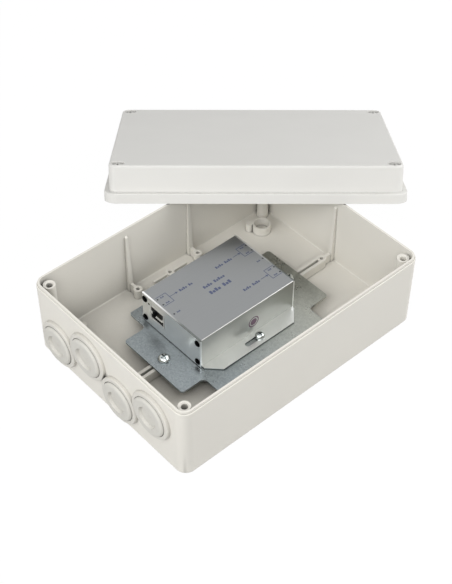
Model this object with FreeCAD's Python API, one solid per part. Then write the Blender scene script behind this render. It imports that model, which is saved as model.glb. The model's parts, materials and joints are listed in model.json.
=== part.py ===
import FreeCAD, Part
import math
import os

# A powered network extender inside a weatherproof junction box, with the box's lid taken off
# and left leaning on it. Lengths are in millimetres and angles in degrees. The origin is the
# centre of the box's underside, X runs along the box, the cable entries are in its -X wall,
# and Z points up.

Vector = FreeCAD.Vector
X_AXIS = Vector(1, 0, 0)
Y_AXIS = Vector(0, 1, 0)
Z_AXIS = Vector(0, 0, 1)
SIDES = (-1, 1)
CORNERS = ((-1, -1), (1, -1), (1, 1), (-1, 1))

# Amount by which a cutting tool runs past the faces it cuts, by which a rib sinks into the
# wall that it grows from, and within which two places count as the same.
OVERRUN = 1.0
ROOT = 0.5
SAME_PLACE = 1e-4

# Share of an edge's radius by which the middle of its arc lies inside the sharp corner.
ARC_MIDDLE = 1 - math.sqrt(0.5)

# Box base: a moulded tub whose rim ends in a raised tongue behind a narrow shoulder.
BASE_LENGTH = 240.0
BASE_WIDTH = 176.0
BASE_HEIGHT = 68.0
BASE_CORNER_RADIUS = 9.0
SMALLEST_CORNER_RADIUS = 0.1
BASE_WALL = 2.6
BASE_FLOOR = 2.6
FOOT_RADIUS = 0.6
FLOOR_CORNER_RADIUS = 1.2
SHOULDER_WIDTH = 1.0
SHOULDER_EDGE_RADIUS = 0.7
TONGUE_HEIGHT = 2.0

# Posts in the corners of the tub, which take the lid screws.
POST_INSET = 9.4
POST_DIAMETER = 9.6
POST_DROP = 3.2
POST_DISH_DIAMETER = 7.0
POST_DISH_DEPTH = 0.9
POST_HOLE_DIAMETER = 5.0
POST_HOLE_DEPTH = 16.0
POST_WEB_THICKNESS = 2.0
POST_WEB_DROP = 12.0

# Stiffening ribs on the walls, which grow wider and deeper towards the floor. On the floor a
# twin-rib rail runs down the middle, and along each long side stand three small bosses, the
# middle one with a low wing on either side.
WALL_RIB_TOP_WIDTH = 2.4
WALL_RIB_TOP_DEPTH = 1.4
WALL_RIB_FOOT_WIDTH = 4.4
WALL_RIB_FOOT_DEPTH = 3.7
WALL_RIB_ARM_WIDTH = 2.6
WALL_RIB_DROP = 7.0
LONG_WALL_RIB_X = 32.0
SUPPORT_HEIGHT = 8.6
RAIL_RIB_WIDTH = 2.6
RAIL_SLOT_WIDTH = 2.4
END_BOSS_INSET = 15.6
SIDE_BOSS_INSET = 14.6
MIDDLE_BOSS_INSET = 16.8
WING_LENGTH = 17.3
WING_THICKNESS = 1.8
BOSS_DIAMETER = 7.4
BOSS_HOLE_DIAMETER = 3.2
BOSS_HOLE_DEPTH = 7.0

# Collared holes in the floor's corners, through which the box is screwed to a wall.
FIXING_INSET = 23.2
FIXING_COLLAR_DIAMETER = 15.8
FIXING_COLLAR_BORE = 13.1
FIXING_COLLAR_HEIGHT = 8.2
FIXING_HOLE_DIAMETER = 5.0
PEG_DIAMETER = 6.0
PEG_ANGLE = 138.0
PEG_BITE = 0.3

# Cable entries in the -X wall: low and high ones in turn, each with a raised collar.
ENTRY_COUNT = 4
ENTRY_PITCH = 36.9
ENTRY_OFFSET = 1.7
ENTRY_LOW_HEIGHT = 23.3
ENTRY_HIGH_HEIGHT = 40.0
ENTRY_HOLE_DIAMETER = 27.0
COLLAR_DIAMETER = 40.0
COLLAR_BORE = 33.6
COLLAR_HEIGHT = 3.0
COLLAR_EDGE_RADIUS = 1.0

# Stepped rubber grommets that close the cable entries until a cable is pushed through.
GROMMET_FLANGE_THICKNESS = 5.2
GROMMET_FLANGE_CLEARANCE = 0.4
GROMMET_EDGE_RADIUS = 2.2
GROMMET_NECK_CLEARANCE = 0.15
GROMMET_NECK_WALL = 1.6
GROMMET_BEAD_HEIGHT = 1.2
GROMMET_BEAD_WIDTH = 1.0
GROMMET_BEAD_LEAD = 1.0
GROMMET_BEAD_CLEARANCE = 0.1
GROMMET_DISH_DIAMETER = 18.8
GROMMET_DISH_TAPER = 0.9
GROMMET_DISH_DEPTH = 2.4
GROMMET_MEMBRANE = 1.0

# Lid: a shallow cap with a wider skirt at its rim, whose groove holds the gasket.
LID_OVERHANG = 2.05
LID_HEIGHT = 30.3
LID_SKIRT_HEIGHT = 8.0
LID_LEDGE = 4.2
LID_WALL = 2.4
LID_TOP = 2.4
LID_EDGE_RADIUS = 1.8
LID_LEDGE_RADIUS = 0.8
GROOVE_CLEARANCE = 0.3
GROOVE_DEPTH = 3.4
INNER_LIP_RISE = 2.0
LID_COLUMN_WALL = 1.4
LID_COLUMN_CLEARANCE = 0.2
LID_WELL_DIAMETER = 11.0
LID_WELL_DEPTH = 3.8

# Gasket in the lid's groove.
GASKET_CLEARANCE = 0.1
GASKET_THICKNESS = 1.2

# Lid screws: quarter-turn screws that stay in the lid.
LID_SCREW_HEAD_DIAMETER = 9.4
LID_SCREW_HEAD_HEIGHT = 3.0
LID_SCREW_SHANK_DIAMETER = 3.6
LID_SCREW_HOLE_CLEARANCE = 0.2
LID_SCREW_REACH = 3.2

# Place of the lid that was taken off: its long back edge on the table, its front lip on the rim.
LID_REST_X = 175.0
LID_REST_Y = 163.3
LID_TURN = -41.57
LID_REST_GAP = 0.05

# Cross-shaped steel plate that carries the extender inside the box.
PLATE_LENGTH = 153.6
PLATE_END_WIDTH = 69.6
PLATE_WAIST_LENGTH = 110.4
PLATE_WIDTH = 110.8
PLATE_THICKNESS = 1.6
PLATE_CORNER_RADIUS = 2.4
PLATE_NOTCH_RADIUS = 4.0
PLATE_SCREW_INSET = 11.2
PLATE_SCREW_BOSS_DIAMETER = 8.0
PLATE_PAD_SPACING = 52.0
PLATE_SCREW_DIAMETER = 5.0
PLATE_SCREW_LENGTH = 8.0
PLATE_SCREW_HEAD_DIAMETER = 9.6
PLATE_SCREW_HEAD_HEIGHT = 3.4
PLATE_HOLE_CLEARANCE = 0.3
PILOT_CLEARANCE = 0.05
PILOT_DEPTH = 7.6

# Extruded aluminium case of the extender, with a mounting flange along each long side.
CASE_X = -1.8
CASE_Y = 8.8
CASE_LENGTH = 97.8
CASE_WIDTH = 69.2
CASE_HEIGHT = 30.3
CASE_WALL = 1.5
CASE_EDGE_RADIUS = 0.8
FLANGE_WIDTH = 13.2
FLANGE_THICKNESS = 1.6
FLANGE_CHAMFER = 10.6
SLOT_LENGTH = 17.0
SLOT_WIDTH = 4.4
CASE_SCREW_OFFSET = 6.5
CASE_SCREW_DIAMETER = 3.8
CASE_SCREW_CLEARANCE = 0.05
CASE_SCREW_REACH = 2.4
CASE_SCREW_HEAD_DIAMETER = 7.8
CASE_SCREW_HEAD_HEIGHT = 3.2
CARD_GUIDE_DEPTH = 1.4
CARD_GUIDE_HEIGHT = 1.0
SCREW_PORT_DIAMETER = 5.4

# End plates of the case and the small black screws in their corners.
END_PLATE_THICKNESS = 1.5
END_PLATE_GAP = 0.4
END_PLATE_EDGE_RADIUS = 0.5
END_SCREW_INSET_Y = 3.4
END_SCREW_INSET_Z = 5.1
END_SCREW_DIAMETER = 2.6
END_SCREW_CLEARANCE = 0.05
END_SCREW_LENGTH = 7.0
END_SCREW_HEAD_DIAMETER = 5.6
END_SCREW_HEAD_HEIGHT = 1.2

# Circuit board on the case's card guides.
BOARD_HEIGHT = 8.5
BOARD_THICKNESS = 1.6
BOARD_SIDE_CLEARANCE = 0.3
BOARD_END_CLEARANCE = 0.5

# Network sockets: a folded metal shield round a black insert with eight contacts.
JACK_SIDE_INSET = 18.2
JACK_WIDTH = 16.2
JACK_HEIGHT = 13.6
JACK_DEPTH = 20.0
JACK_PROUD = 0.2
JACK_CUTOUT_CLEARANCE = 0.5
SHIELD_THICKNESS = 0.4
SHIELD_LIP_WIDTH = 0.7
SPRING_REACH = 1.5
SPRING_HEIGHT = 2.4
PLUG_WIDTH = 11.9
PLUG_HEIGHT = 6.9
PLUG_DEPTH = 13.0
PLUG_FLOOR = 1.8
LATCH_WIDTH = 6.4
LATCH_HEIGHT = 2.0
CONTACT_COUNT = 8
CONTACT_PITCH = 1.02
CONTACT_WIDTH = 0.45
CONTACT_THICKNESS = 0.35
CONTACT_START = 1.4
CONTACT_FOOT = 0.8
CONTACT_BEND = 5.0
CONTACT_RISE = 2.2

# Status lamps, one beside each socket, on two legs from the board.
LAMP_DIAMETER = 1.8
LAMP_HOLE_CLEARANCE = 0.2
LAMP_LENGTH = 3.0
LAMP_SIDE_GAP = 0.4
LAMP_DROP = 0.4
LAMP_LEG = 0.5

# Larger components on the board.
TRANSFORMER_LENGTH = 16.0
TRANSFORMER_WIDTH = 10.0
TRANSFORMER_HEIGHT = 6.0
TRANSFORMER_EDGE = 0.8
TRANSFORMER_GAP = 3.0
INDUCTOR_SIZE = 12.5
INDUCTOR_HEIGHT = 7.0
INDUCTOR_WAIST = 8.0
INDUCTOR_FLANGE = 1.6
INDUCTOR_OFFSET = 14.0
INDUCTOR_SIDE_INSET = 16.0
CAPACITOR_DIAMETER = 10.0
CAPACITOR_HEIGHT = 15.0
CAPACITOR_EDGE = 0.8
CAPACITOR_SPACING = 13.0
CAPACITOR_SIDE_INSET = 12.6
CAPACITOR_GAP = 1.0
CHIP_SIZE = 9.0
CHIP_HEIGHT = 1.2
CHIP_BEVEL = 0.3
CHIP_GAP = 1.0
RECTIFIER_LENGTH = 8.5
RECTIFIER_WIDTH = 6.5
RECTIFIER_HEIGHT = 2.6
RECTIFIER_SPACING = 10.0
RECTIFIER_SIDE_INSET = 14.0

# Proportions of a pan-head screw: height of the head's rim, length of the shank's tip, and
# width, length and depth of the cross recess.
RIM_SHARE = 0.35
TIP_SHARE = 0.25
CROSS_WIDTH_SHARE = 0.15
CROSS_LENGTH_SHARE = 0.56
CROSS_DEPTH_SHARE = 0.55

# Places worked out from the sizes above.
POST_X = BASE_LENGTH / 2 - POST_INSET
POST_Y = BASE_WIDTH / 2 - POST_INSET
FIXING_X = BASE_LENGTH / 2 - FIXING_INSET
FIXING_Y = BASE_WIDTH / 2 - FIXING_INSET
SIDE_BOSS_Y = BASE_WIDTH / 2 - SIDE_BOSS_INSET
MIDDLE_BOSS_Y = BASE_WIDTH / 2 - MIDDLE_BOSS_INSET
END_BOSS_X = BASE_LENGTH / 2 - END_BOSS_INSET
SUPPORT_TOP = BASE_FLOOR + SUPPORT_HEIGHT
INNER_HALF_LENGTH = BASE_LENGTH / 2 - BASE_WALL
INNER_HALF_WIDTH = BASE_WIDTH / 2 - BASE_WALL
PLATE_TOP = SUPPORT_TOP + PLATE_THICKNESS
PLATE_SCREW_X = PLATE_LENGTH / 2 - PLATE_SCREW_INSET
CASE_BOTTOM = PLATE_TOP
TUBE_LENGTH = CASE_LENGTH - 2 * END_PLATE_THICKNESS
FLANGE_MID = CASE_WIDTH / 2 + FLANGE_WIDTH / 2
BOARD_BOTTOM = CASE_BOTTOM + BOARD_HEIGHT
BOARD_TOP = BOARD_BOTTOM + BOARD_THICKNESS
JACK_BOTTOM = BOARD_TOP
JACK_OFFSET = CASE_WIDTH / 2 - JACK_SIDE_INSET
LAMP_Z = JACK_BOTTOM + JACK_HEIGHT - LAMP_DROP
TRANSFORMER_X = CASE_LENGTH / 2 - JACK_DEPTH - TRANSFORMER_GAP - TRANSFORMER_WIDTH / 2
CAPACITOR_X = TRANSFORMER_WIDTH / 2 - TRANSFORMER_X + CAPACITOR_GAP + CAPACITOR_DIAMETER / 2
CAPACITOR_Y = CASE_WIDTH / 2 - CAPACITOR_SIDE_INSET
INDUCTOR_Y = INDUCTOR_SIDE_INSET - CASE_WIDTH / 2
RECTIFIER_Y = RECTIFIER_SIDE_INSET - CASE_WIDTH / 2
CHIP_X = CAPACITOR_X + CAPACITOR_DIAMETER / 2 + CHIP_GAP + CHIP_SIZE / 2
GROOVE_OUTER_INSET = SHOULDER_WIDTH - GROOVE_CLEARANCE
GROOVE_INNER_INSET = BASE_WALL + GROOVE_CLEARANCE
LIP_THICKNESS = LID_OVERHANG + GROOVE_OUTER_INSET


def box(x0, x1, y0, y1, z0, z1):
    """Block between two corners."""
    return Part.makeBox(x1 - x0, y1 - y0, z1 - z0, Vector(x0, y0, z0))


def cylinder(diameter, x, y, z0, z1):
    """Upright cylinder."""
    return Part.makeCylinder(diameter / 2, z1 - z0, Vector(x, y, z0), Z_AXIS)


def rounded_face(points, radii, height):
    """Flat face at one height inside a closed outline whose corners are rounded by arcs."""
    count = len(points)
    edges = []
    ends = []
    for index in range(count):
        corner = Vector(*points[index], height)
        before = Vector(*points[index - 1], height).sub(corner).normalize()
        after = Vector(*points[(index + 1) % count], height).sub(corner).normalize()
        half_angle = before.getAngle(after) / 2
        reach = radii[index] / math.tan(half_angle)
        start = corner + before * reach
        end = corner + after * reach
        if radii[index] > 0:
            inward = (before + after).normalize()
            middle = corner + inward * (radii[index] / math.sin(half_angle) - radii[index])
            edges.append(Part.Arc(start, middle, end).toShape())
        ends.append((start, end))
    for index in range(count):
        leave = ends[index][1]
        arrive = ends[(index + 1) % count][0]
        if leave.distanceToPoint(arrive) > SAME_PLACE:
            edges.append(Part.LineSegment(leave, arrive).toShape())
    return Part.Face(Part.Wire(Part.__sortEdges__(edges)))


def rounded_block(length, width, radius, z0, z1):
    """Centred block with rounded upright edges."""
    points = [(length / 2 * sx, width / 2 * sy) for sx, sy in CORNERS]
    return rounded_face(points, [radius] * 4, z0).extrude(Vector(0, 0, z1 - z0))


def base_block(inset, z0, z1):
    """Block that follows the box's outer outline at an even distance inside it."""
    return rounded_block(BASE_LENGTH - 2 * inset, BASE_WIDTH - 2 * inset,
                         max(BASE_CORNER_RADIUS - inset, SMALLEST_CORNER_RADIUS), z0, z1)


def edges_at_height(shape, height):
    """Edges of a shape that lie flat at one height."""
    return [edge for edge in shape.Edges
            if abs(edge.BoundBox.ZMin - height) < SAME_PLACE
            and abs(edge.BoundBox.ZMax - height) < SAME_PLACE]


def fuse(shapes):
    """One clean solid from overlapping ones."""
    return shapes[0].multiFuse(shapes[1:]).removeSplitter()


def turned(profile, axis_point, axis):
    """Solid turned from a closed profile of points, where an arc is given by three points."""
    edges = []
    for piece in profile:
        points = [Vector(*point) for point in piece]
        if len(points) == 3:
            edges.append(Part.Arc(*points).toShape())
        else:
            edges.append(Part.LineSegment(*points).toShape())
    return Part.Face(Part.Wire(edges)).revolve(axis_point, axis, 360)


def closed_profile(points):
    """Straight pieces that join points into a closed profile."""
    return [(points[index], points[(index + 1) % len(points)]) for index in range(len(points))]


def pan_screw(head_diameter, head_height, shank_diameter, shank_length):
    """Pan-head screw with a cross recess; its seat is at the origin and the shank points down."""
    head = head_diameter / 2
    shank = shank_diameter / 2
    tip = shank_diameter * TIP_SHARE
    rim = head_height * RIM_SHARE
    crown = (head * (1 - ARC_MIDDLE), 0, head_height - (head_height - rim) * ARC_MIDDLE)
    profile = [
        ((0, 0, head_height), crown, (head, 0, rim)),
        ((head, 0, rim), (head, 0, 0)),
        ((head, 0, 0), (shank, 0, 0)),
        ((shank, 0, 0), (shank, 0, tip - shank_length)),
        ((shank, 0, tip - shank_length), (shank - tip, 0, -shank_length)),
        ((shank - tip, 0, -shank_length), (0, 0, -shank_length)),
        ((0, 0, -shank_length), (0, 0, head_height)),
    ]
    screw = turned(profile, Vector(0, 0, 0), Z_AXIS)
    width = head_diameter * CROSS_WIDTH_SHARE / 2
    length = head_diameter * CROSS_LENGTH_SHARE / 2
    depth = head_height * (1 - CROSS_DEPTH_SHARE)
    above = head_height + OVERRUN
    cross = box(-length, length, -width, width, depth, above)
    cross = cross.fuse(box(-width, width, -length, length, depth, above))
    return screw.cut(cross)


def placed(shape, x, y, z):
    """Copy of a shape moved from the origin to a point."""
    copy = shape.copy()
    copy.translate(Vector(x, y, z))
    return copy


def group(shapes):
    """Several separate solids kept as one piece of the parts list."""
    return Part.makeCompound(shapes)


def entry_centres():
    """Centres of the cable entries on the -X wall, low and high in turn from the +Y end."""
    first = ENTRY_OFFSET + (ENTRY_COUNT - 1) / 2 * ENTRY_PITCH
    heights = (ENTRY_LOW_HEIGHT, ENTRY_HIGH_HEIGHT)
    return [(first - index * ENTRY_PITCH, heights[index % 2]) for index in range(ENTRY_COUNT)]


def base_shell():
    """Tub with rounded corners, a softened foot and the rim's tongue."""
    shoulder_top = BASE_HEIGHT - TONGUE_HEIGHT
    outer = base_block(0, 0, shoulder_top)
    outer = outer.makeFillet(FOOT_RADIUS, edges_at_height(outer, 0))
    outer = outer.makeFillet(SHOULDER_EDGE_RADIUS, edges_at_height(outer, shoulder_top))
    tongue = base_block(SHOULDER_WIDTH, shoulder_top - ROOT, BASE_HEIGHT)
    cavity = base_block(BASE_WALL, BASE_FLOOR, BASE_HEIGHT + OVERRUN)
    cavity = cavity.makeFillet(FLOOR_CORNER_RADIUS, edges_at_height(cavity, BASE_FLOOR))
    return outer.fuse(tongue).cut(cavity)


def corner_post(sx, sy):
    """Free-standing screw post tied to its corner by a low web."""
    x = POST_X * sx
    y = POST_Y * sy
    top = BASE_HEIGHT - POST_DROP
    floor = BASE_FLOOR - ROOT
    post = cylinder(POST_DIAMETER, x, y, floor, top)
    corner_x = (BASE_LENGTH / 2 - BASE_CORNER_RADIUS) * sx
    corner_y = (BASE_WIDTH / 2 - BASE_CORNER_RADIUS) * sy
    reach = BASE_CORNER_RADIUS - BASE_WALL + ROOT
    reach += math.hypot(corner_x - x, corner_y - y)
    web = box(0, reach, -POST_WEB_THICKNESS / 2, POST_WEB_THICKNESS / 2, floor, top - POST_WEB_DROP)
    angle = math.degrees(math.atan2(corner_y - y, corner_x - x))
    web.rotate(Vector(0, 0, 0), Z_AXIS, angle)
    return [post, placed(web, x, y, 0)]


def corner_post_holes(sx, sy):
    """Screw hole of a corner post and the dish round its mouth."""
    x = POST_X * sx
    y = POST_Y * sy
    top = BASE_HEIGHT - POST_DROP
    hole = cylinder(POST_HOLE_DIAMETER, x, y, top - POST_HOLE_DEPTH, top + OVERRUN)
    dish = Part.makeCone(POST_HOLE_DIAMETER / 2, POST_DISH_DIAMETER / 2, POST_DISH_DEPTH,
                         Vector(x, y, top - POST_DISH_DEPTH), Z_AXIS)
    return [hole, dish]


def wall_rib(outward_x, outward_y, along, wall_at, boss_at):
    """Tapered rib that runs down a wall, with an arm along the floor to a boss."""
    top = BASE_HEIGHT - WALL_RIB_DROP
    floor = BASE_FLOOR - ROOT
    sections = []
    for height, depth, width in ((floor, WALL_RIB_FOOT_DEPTH, WALL_RIB_FOOT_WIDTH),
                                 (top - WALL_RIB_TOP_DEPTH, WALL_RIB_TOP_DEPTH,
                                  WALL_RIB_TOP_WIDTH),
                                 (top, 0, WALL_RIB_TOP_WIDTH)):
        points = [Vector(x, y, height) for x, y in ((wall_at + ROOT, -width / 2),
                                                    (wall_at - depth, -width / 2),
                                                    (wall_at - depth, width / 2),
                                                    (wall_at + ROOT, width / 2))]
        sections.append(Part.makePolygon(points + points[:1]))
    upright = Part.makeLoft(sections, True, True)
    arm = box(boss_at, wall_at, -WALL_RIB_ARM_WIDTH / 2, WALL_RIB_ARM_WIDTH / 2, floor,
              SUPPORT_TOP)
    pieces = []
    for piece in (upright, arm):
        piece.rotate(Vector(0, 0, 0), Z_AXIS, math.degrees(math.atan2(outward_y, outward_x)))
        pieces.append(placed(piece, along * abs(outward_y), along * abs(outward_x), 0))
    return pieces


def twin_rail(x0, x1, y):
    """Pair of low ribs with a narrow slot between them."""
    inner = RAIL_SLOT_WIDTH / 2
    outer = inner + RAIL_RIB_WIDTH
    floor = BASE_FLOOR - ROOT
    return [box(x0, x1, y + inner, y + outer, floor, SUPPORT_TOP),
            box(x0, x1, y - outer, y - inner, floor, SUPPORT_TOP)]


def middle_wings(side):
    """Low rib through the middle boss of a long side."""
    y = MIDDLE_BOSS_Y * side
    return box(-WING_LENGTH, WING_LENGTH, y - WING_THICKNESS / 2, y + WING_THICKNESS / 2,
               BASE_FLOOR - ROOT, SUPPORT_TOP)


def boss_places():
    """Small bosses: one at each end of the rail and three along each long side."""
    places = [(END_BOSS_X * side, 0) for side in SIDES]
    for side in SIDES:
        places += [(x, SIDE_BOSS_Y * side) for x in (-LONG_WALL_RIB_X, LONG_WALL_RIB_X)]
        places.append((0, MIDDLE_BOSS_Y * side))
    return places


def floor_supports():
    """Wall ribs, rail, wings and bosses that stiffen the tub and carry the plate."""
    floor = BASE_FLOOR - ROOT
    pieces = twin_rail(-END_BOSS_X, END_BOSS_X, 0)
    for side in SIDES:
        pieces.append(middle_wings(side))
        pieces += wall_rib(side, 0, 0, INNER_HALF_LENGTH, END_BOSS_X)
        for x in (-LONG_WALL_RIB_X, LONG_WALL_RIB_X):
            pieces += wall_rib(0, side, x, INNER_HALF_WIDTH, SIDE_BOSS_Y)
    for x, y in boss_places():
        pieces.append(cylinder(BOSS_DIAMETER, x, y, floor, SUPPORT_TOP))
    for side in SIDES:
        x = PLATE_SCREW_X * side
        for y in (-PLATE_PAD_SPACING / 2, 0, PLATE_PAD_SPACING / 2):
            pieces.append(cylinder(PLATE_SCREW_BOSS_DIAMETER, x, y, floor, SUPPORT_TOP))
    return pieces


def floor_support_holes():
    """Holes in the small bosses and pilot holes in the two bosses under the plate screws."""
    holes = []
    for x, y in boss_places():
        holes.append(cylinder(BOSS_HOLE_DIAMETER, x, y, SUPPORT_TOP - BOSS_HOLE_DEPTH,
                              SUPPORT_TOP + OVERRUN))
    diameter = PLATE_SCREW_DIAMETER + 2 * PILOT_CLEARANCE
    for side in SIDES:
        holes.append(cylinder(diameter, PLATE_SCREW_X * side, 0, SUPPORT_TOP - PILOT_DEPTH,
                              SUPPORT_TOP + OVERRUN))
    return holes


def fixing_collar(sx, sy):
    """Collar round a wall-fixing hole, with a small peg against its side."""
    x = FIXING_X * sx
    y = FIXING_Y * sy
    floor = BASE_FLOOR - ROOT
    top = BASE_FLOOR + FIXING_COLLAR_HEIGHT
    collar = cylinder(FIXING_COLLAR_DIAMETER, x, y, floor, top)
    distance = (FIXING_COLLAR_DIAMETER + PEG_DIAMETER) / 2 - PEG_BITE
    peg_x = x + distance * math.cos(math.radians(PEG_ANGLE)) * sx
    peg_y = y + distance * math.sin(math.radians(PEG_ANGLE)) * sy
    return [collar, cylinder(PEG_DIAMETER, peg_x, peg_y, floor, top)]


def fixing_holes(sx, sy):
    """Wide bore of the collar and the fixing hole through the floor."""
    x = FIXING_X * sx
    y = FIXING_Y * sy
    bore = cylinder(FIXING_COLLAR_BORE, x, y, BASE_FLOOR,
                    BASE_FLOOR + FIXING_COLLAR_HEIGHT + OVERRUN)
    return [bore, cylinder(FIXING_HOLE_DIAMETER, x, y, -OVERRUN, BASE_FLOOR + OVERRUN)]


def entry_collar(y, z):
    """Raised collar round a cable entry, with a rounded front edge."""
    wall = -BASE_LENGTH / 2
    radius = COLLAR_DIAMETER / 2
    soft = COLLAR_EDGE_RADIUS
    front = wall - COLLAR_HEIGHT
    bend = soft * ARC_MIDDLE
    profile = [
        ((wall + ROOT, y, z), (wall + ROOT, y, z + radius)),
        ((wall + ROOT, y, z + radius), (front + soft, y, z + radius)),
        ((front + soft, y, z + radius), (front + bend, y, z + radius - bend),
         (front, y, z + radius - soft)),
        ((front, y, z + radius - soft), (front, y, z)),
        ((front, y, z), (wall + ROOT, y, z)),
    ]
    return turned(profile, Vector(wall, y, z), X_AXIS)


def entry_holes(y, z):
    """Seat for a grommet inside the collar and the hole through the wall."""
    wall = -BASE_LENGTH / 2
    seat = Part.makeCylinder(COLLAR_BORE / 2, COLLAR_HEIGHT + OVERRUN,
                             Vector(wall, y, z), -X_AXIS)
    hole = Part.makeCylinder(ENTRY_HOLE_DIAMETER / 2, BASE_WALL + 2 * OVERRUN,
                             Vector(wall - OVERRUN, y, z), X_AXIS)
    return [seat, hole]


def enclosure_base():
    """Moulded base of the junction box."""
    pieces = [base_shell()] + floor_supports()
    holes = floor_support_holes()
    for sx, sy in CORNERS:
        pieces += corner_post(sx, sy) + fixing_collar(sx, sy)
        holes += corner_post_holes(sx, sy) + fixing_holes(sx, sy)
    for y, z in entry_centres():
        pieces.append(entry_collar(y, z))
        holes += entry_holes(y, z)
    return fuse(pieces).cut(Part.makeCompound(holes))


def grommet(y, z):
    """Stepped grommet: flange and dished membrane outside, neck and snap bead inside."""
    wall = -BASE_LENGTH / 2
    face = wall - GROMMET_FLANGE_THICKNESS
    dish = face + GROMMET_DISH_DEPTH
    back = dish + GROMMET_MEMBRANE
    flange = COLLAR_BORE / 2 - GROMMET_FLANGE_CLEARANCE
    soft = GROMMET_EDGE_RADIUS
    bend = soft * ARC_MIDDLE
    neck = ENTRY_HOLE_DIAMETER / 2 - GROMMET_NECK_CLEARANCE
    bore = neck - GROMMET_NECK_WALL
    bead = ENTRY_HOLE_DIAMETER / 2 + GROMMET_BEAD_HEIGHT
    bead_start = wall + BASE_WALL + GROMMET_BEAD_CLEARANCE
    bead_end = bead_start + GROMMET_BEAD_WIDTH
    tail = bead_end + GROMMET_BEAD_LEAD
    dish_radius = GROMMET_DISH_DIAMETER / 2

    def point(x, radius):
        return (x, y, z + radius)

    points = [point(face, flange - soft), point(face, dish_radius),
              point(dish, dish_radius - GROMMET_DISH_TAPER), point(dish, 0), point(back, 0),
              point(back, bore), point(tail, bore), point(tail, neck), point(bead_end, bead),
              point(bead_start, bead), point(bead_start, neck), point(wall, neck),
              point(wall, flange), point(face + soft, flange)]
    profile = closed_profile(points)
    profile[-1] = (points[-1], point(face + bend, flange - bend), points[0])
    return turned(profile, Vector(wall, y, z), X_AXIS)


def cable_entry_grommets():
    """Grommets of all cable entries."""
    return group([grommet(y, z) for y, z in entry_centres()])


def in_resting_place(shape):
    """Move a piece of the closed lid to where the lid was put down."""
    half_width = BASE_WIDTH / 2 + LID_OVERHANG
    rise = (BASE_HEIGHT + LID_REST_GAP) / (2 * half_width - LIP_THICKNESS)
    tilt = math.degrees(math.asin(rise))
    lean = FreeCAD.Rotation(X_AXIS, -tilt)
    turn = FreeCAD.Rotation(Z_AXIS, LID_TURN)
    place = FreeCAD.Placement(Vector(LID_REST_X, LID_REST_Y, 0), turn.multiply(lean))
    copy = placed(shape, 0, -half_width, 0)
    copy.Placement = place.multiply(copy.Placement)
    return copy


def lid_body():
    """Lid cap with its wider skirt, before the inside is cut."""
    skirt = base_block(-LID_OVERHANG, 0, LID_SKIRT_HEIGHT)
    skirt = skirt.makeFillet(LID_LEDGE_RADIUS, edges_at_height(skirt, LID_SKIRT_HEIGHT))
    cap = base_block(LID_LEDGE - LID_OVERHANG, 0, LID_HEIGHT)
    cap = cap.makeFillet(LID_EDGE_RADIUS, edges_at_height(cap, LID_HEIGHT))
    return skirt.fuse(cap).removeSplitter()


def enclosure_lid():
    """Lid with its gasket groove, inner lip and four screw columns, at rest."""
    inner = LID_LEDGE - LID_OVERHANG + LID_WALL
    shell = lid_body().cut(base_block(inner, -OVERRUN, LID_HEIGHT - LID_TOP))
    groove = base_block(GROOVE_OUTER_INSET, -OVERRUN, GROOVE_DEPTH)
    groove = groove.cut(base_block(GROOVE_INNER_INSET, -OVERRUN, GROOVE_DEPTH))
    lip = base_block(GROOVE_OUTER_INSET, -OVERRUN, INNER_LIP_RISE)
    shell = shell.cut(lip)
    columns = []
    holes = [groove]
    hole_diameter = LID_SCREW_SHANK_DIAMETER + 2 * LID_SCREW_HOLE_CLEARANCE
    column_diameter = LID_WELL_DIAMETER + 2 * LID_COLUMN_WALL
    for sx, sy in CORNERS:
        x = POST_X * sx
        y = POST_Y * sy
        columns.append(cylinder(column_diameter, x, y, LID_COLUMN_CLEARANCE, LID_HEIGHT - ROOT))
        holes.append(cylinder(hole_diameter, x, y, -OVERRUN, LID_HEIGHT + OVERRUN))
        holes.append(cylinder(LID_WELL_DIAMETER, x, y, LID_HEIGHT - LID_WELL_DEPTH,
                              LID_HEIGHT + OVERRUN))
    return in_resting_place(fuse([shell] + columns).cut(Part.makeCompound(holes)))


def lid_gasket():
    """Rubber ring pressed into the top of the lid's groove."""
    top = GROOVE_DEPTH
    bottom = top - GASKET_THICKNESS
    ring = base_block(GROOVE_OUTER_INSET + GASKET_CLEARANCE, bottom, top)
    ring = ring.cut(base_block(GROOVE_INNER_INSET - GASKET_CLEARANCE, bottom, top))
    return in_resting_place(ring)


def lid_screws():
    """Quarter-turn screws hanging in the lid's wells."""
    seat = LID_HEIGHT - LID_WELL_DEPTH
    screw = pan_screw(LID_SCREW_HEAD_DIAMETER, LID_SCREW_HEAD_HEIGHT,
                      LID_SCREW_SHANK_DIAMETER, seat + LID_SCREW_REACH)
    return group([in_resting_place(placed(screw, POST_X * sx, POST_Y * sy, seat))
                  for sx, sy in CORNERS])


def cross_outline():
    """Outline of the mounting plate, with the radius of each corner."""
    long_x = PLATE_LENGTH / 2
    waist_x = PLATE_WAIST_LENGTH / 2
    end_y = PLATE_END_WIDTH / 2
    wide_y = PLATE_WIDTH / 2
    quarter = [(waist_x, wide_y, PLATE_CORNER_RADIUS), (waist_x, end_y, PLATE_NOTCH_RADIUS),
               (long_x, end_y, PLATE_CORNER_RADIUS)]
    outline = [(x, y, radius) for x, y, radius in quarter]
    outline += [(x, -y, radius) for x, y, radius in reversed(quarter)]
    outline += [(-x, -y, radius) for x, y, radius in quarter]
    outline += [(-x, y, radius) for x, y, radius in reversed(quarter)]
    return outline


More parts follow.
